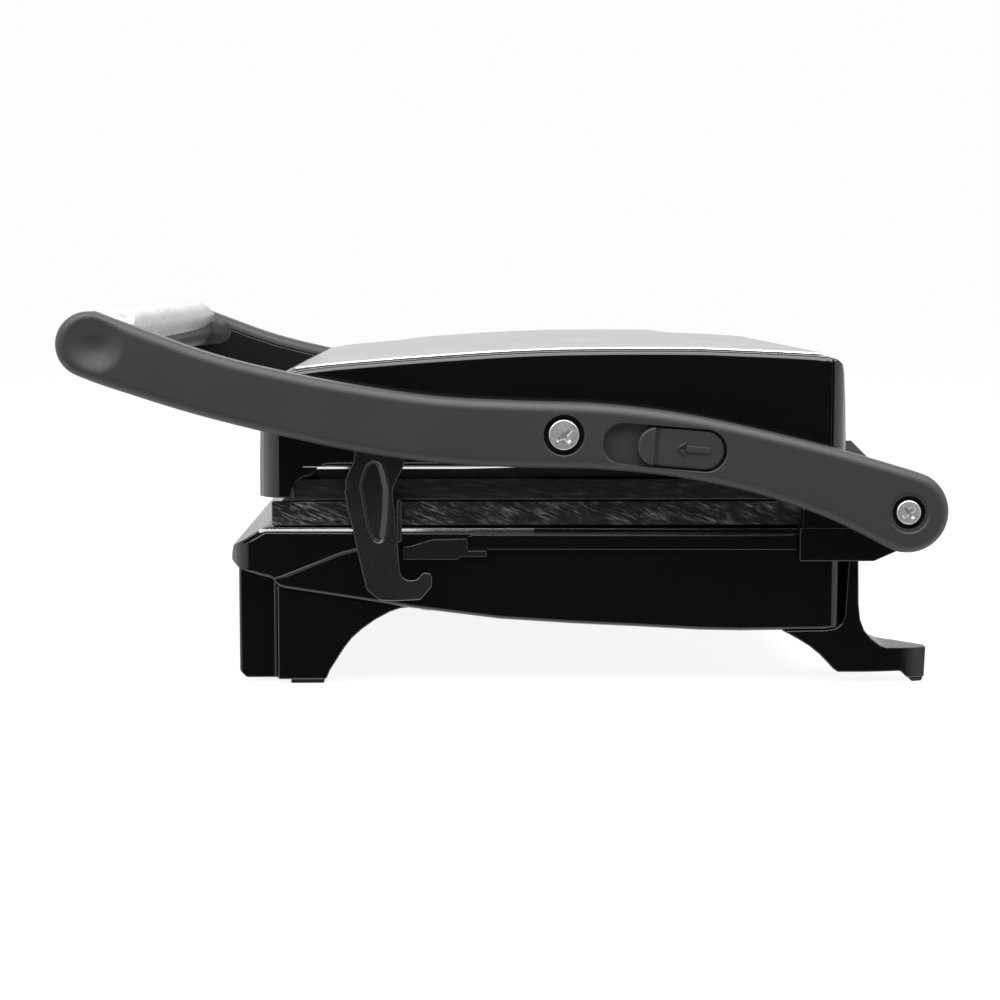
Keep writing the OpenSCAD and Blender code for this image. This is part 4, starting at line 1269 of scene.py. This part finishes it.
def storage_latch():
    """Stamped hook with a pressed channel and a bent stiffening flange."""
    low, high = box_mm("storage_latch")
    back, face, edge, deep = low.x, low.x + 2.0, 0.6, 1.5
    outline = relaxed(latch_outline(back), 0.7, 1)
    rings = [at_x(inset(outline, 0.3), back), at_x(outline, back + 0.3)]
    rings += round_over(outline, face, edge, 5)
    plate = loft("rough_latch", rings)
    path = relaxed([Vector(p) for p in CHANNEL], 0.8, 4)
    rings = [at_x(inset(path, -0.7), face + 0.6)]
    for k in range(9):
        t = k / 8
        rings.append(at_x(sunk(path, 1.1 * t, 3.4 * t), face - deep * (0.02 + 0.98 * smooth(t))))
    hole = circle_outline(LATCH_PIVOT, 2.56)
    bore = loft("cut_rivet", [at_x(hole, back - 1), at_x(hole, face + 1)])
    plate = cut(plate, [loft("cut_channel", rings), bore], "latch_plate")
    bend = relaxed([Vector(p) for p in FLANGE], 0.5, 2)
    flange = loft("latch_flange", [at_x(bend, back + 0.4)] + round_over(bend, high.x, 0.5, 4))
    finish_piece(joined("storage_latch_plate", [plate, flange]), "storage_latch")


# ---------------------------------------------------------------- shapes of the softened CAD pieces

TOE_START = 133.0
TOE_LENGTH = 26.4
TOE_BEND = 5.0


def curve_toe(bm):
    """Curves the outer face of a rear toe inwards, towards its end."""
    for y in range(135, 160, 2):
        sliced(bm, (0, y * MM, 0), (0, 1, 0))
    for vert in bm.verts:
        beyond = (vert.co.y / MM - TOE_START) / TOE_LENGTH
        if beyond > 0 and abs(vert.co.x / MM) > 110:
            vert.co.x -= math.copysign(TOE_BEND * beyond ** 2 * MM, vert.co.x)


def hinge_webs():
    """A low rib on each hinge bracket, under the arm."""
    low, high = box_mm("hinge_bracket_right")
    outline = [Vector(p) for p in
               ((110.5, 58.5), (130.5, 58.5), (130.5, 62.0), (125.5, 66.6), (110.5, 66.6))]
    right = loft("rib", [at_x(outline, low.x + 0.2), at_x(outline, high.x - 0.8),
                         at_x(inset(outline, 0.4), high.x - 0.3)])
    finish_extra(both_sides("hinge_ribs", right), "base", "gloss_black")


def build():
    for side in ("right", "left"):
        handle_arm(side)
        arm_cover(side)
    screw_pair("head_pivot_screws", HEAD_PIVOT, 4.0, box_mm("head_spacers")[1].x, 3.0, 126)
    screw_pair("rear_pivot_screws", REAR_PIVOT, 3.5, box_mm("hinge_bracket_right")[1].x, 2.5, 130)
    slide_button()
    return_spring()
    top_cover()
    upper_housing()
    lower_housing()
    grip_bar()
    grip_cover()
    storage_latch()
    softened("bottom_cover", 0.3, segments=1)
    for side in ("right", "left"):
        softened("side_rail_" + side, 0.45)
        softened("front_leg_" + side, 0.7)
        softened("rear_leg_" + side, 0.7, reshape=curve_toe)
        softened("hinge_bracket_" + side, 0.6)
    hinge_webs()
    softened("wire_guard", 0.5)
    softened("foot_pads", 0.35, reshape=curve_toe)
    softened("lower_grill_plate", 0.55)
    softened("upper_grill_plate", 0.55)
    softened("latch_catch", 0.5)
    softened("drip_tray", 0.6)
    for node, obj in NODES.items():
        if not obj.hide_render:
            obj.data.materials.clear()
            obj.data.materials.append(MATERIALS[SLOT_OF[node]])


add_camera()
add_world()
add_floor()
add_soft_panel("top_panel", (0.45, 0.0, 1.05), (0.0, 0.0, 0.08), (2.2, 1.2), 6.3)
add_soft_panel("back_panel", (-1.1, 0.0, 0.75), (0.0, 0.0, 0.08), (2.2, 0.5), 2.6)
add_soft_panel("key_panel", (1.3, -1.4, 1.1), (0.05, 0.0, 0.07), (0.8, 0.8), 4.0)
bpy.context.scene.view_settings.view_transform = "Standard"
build()
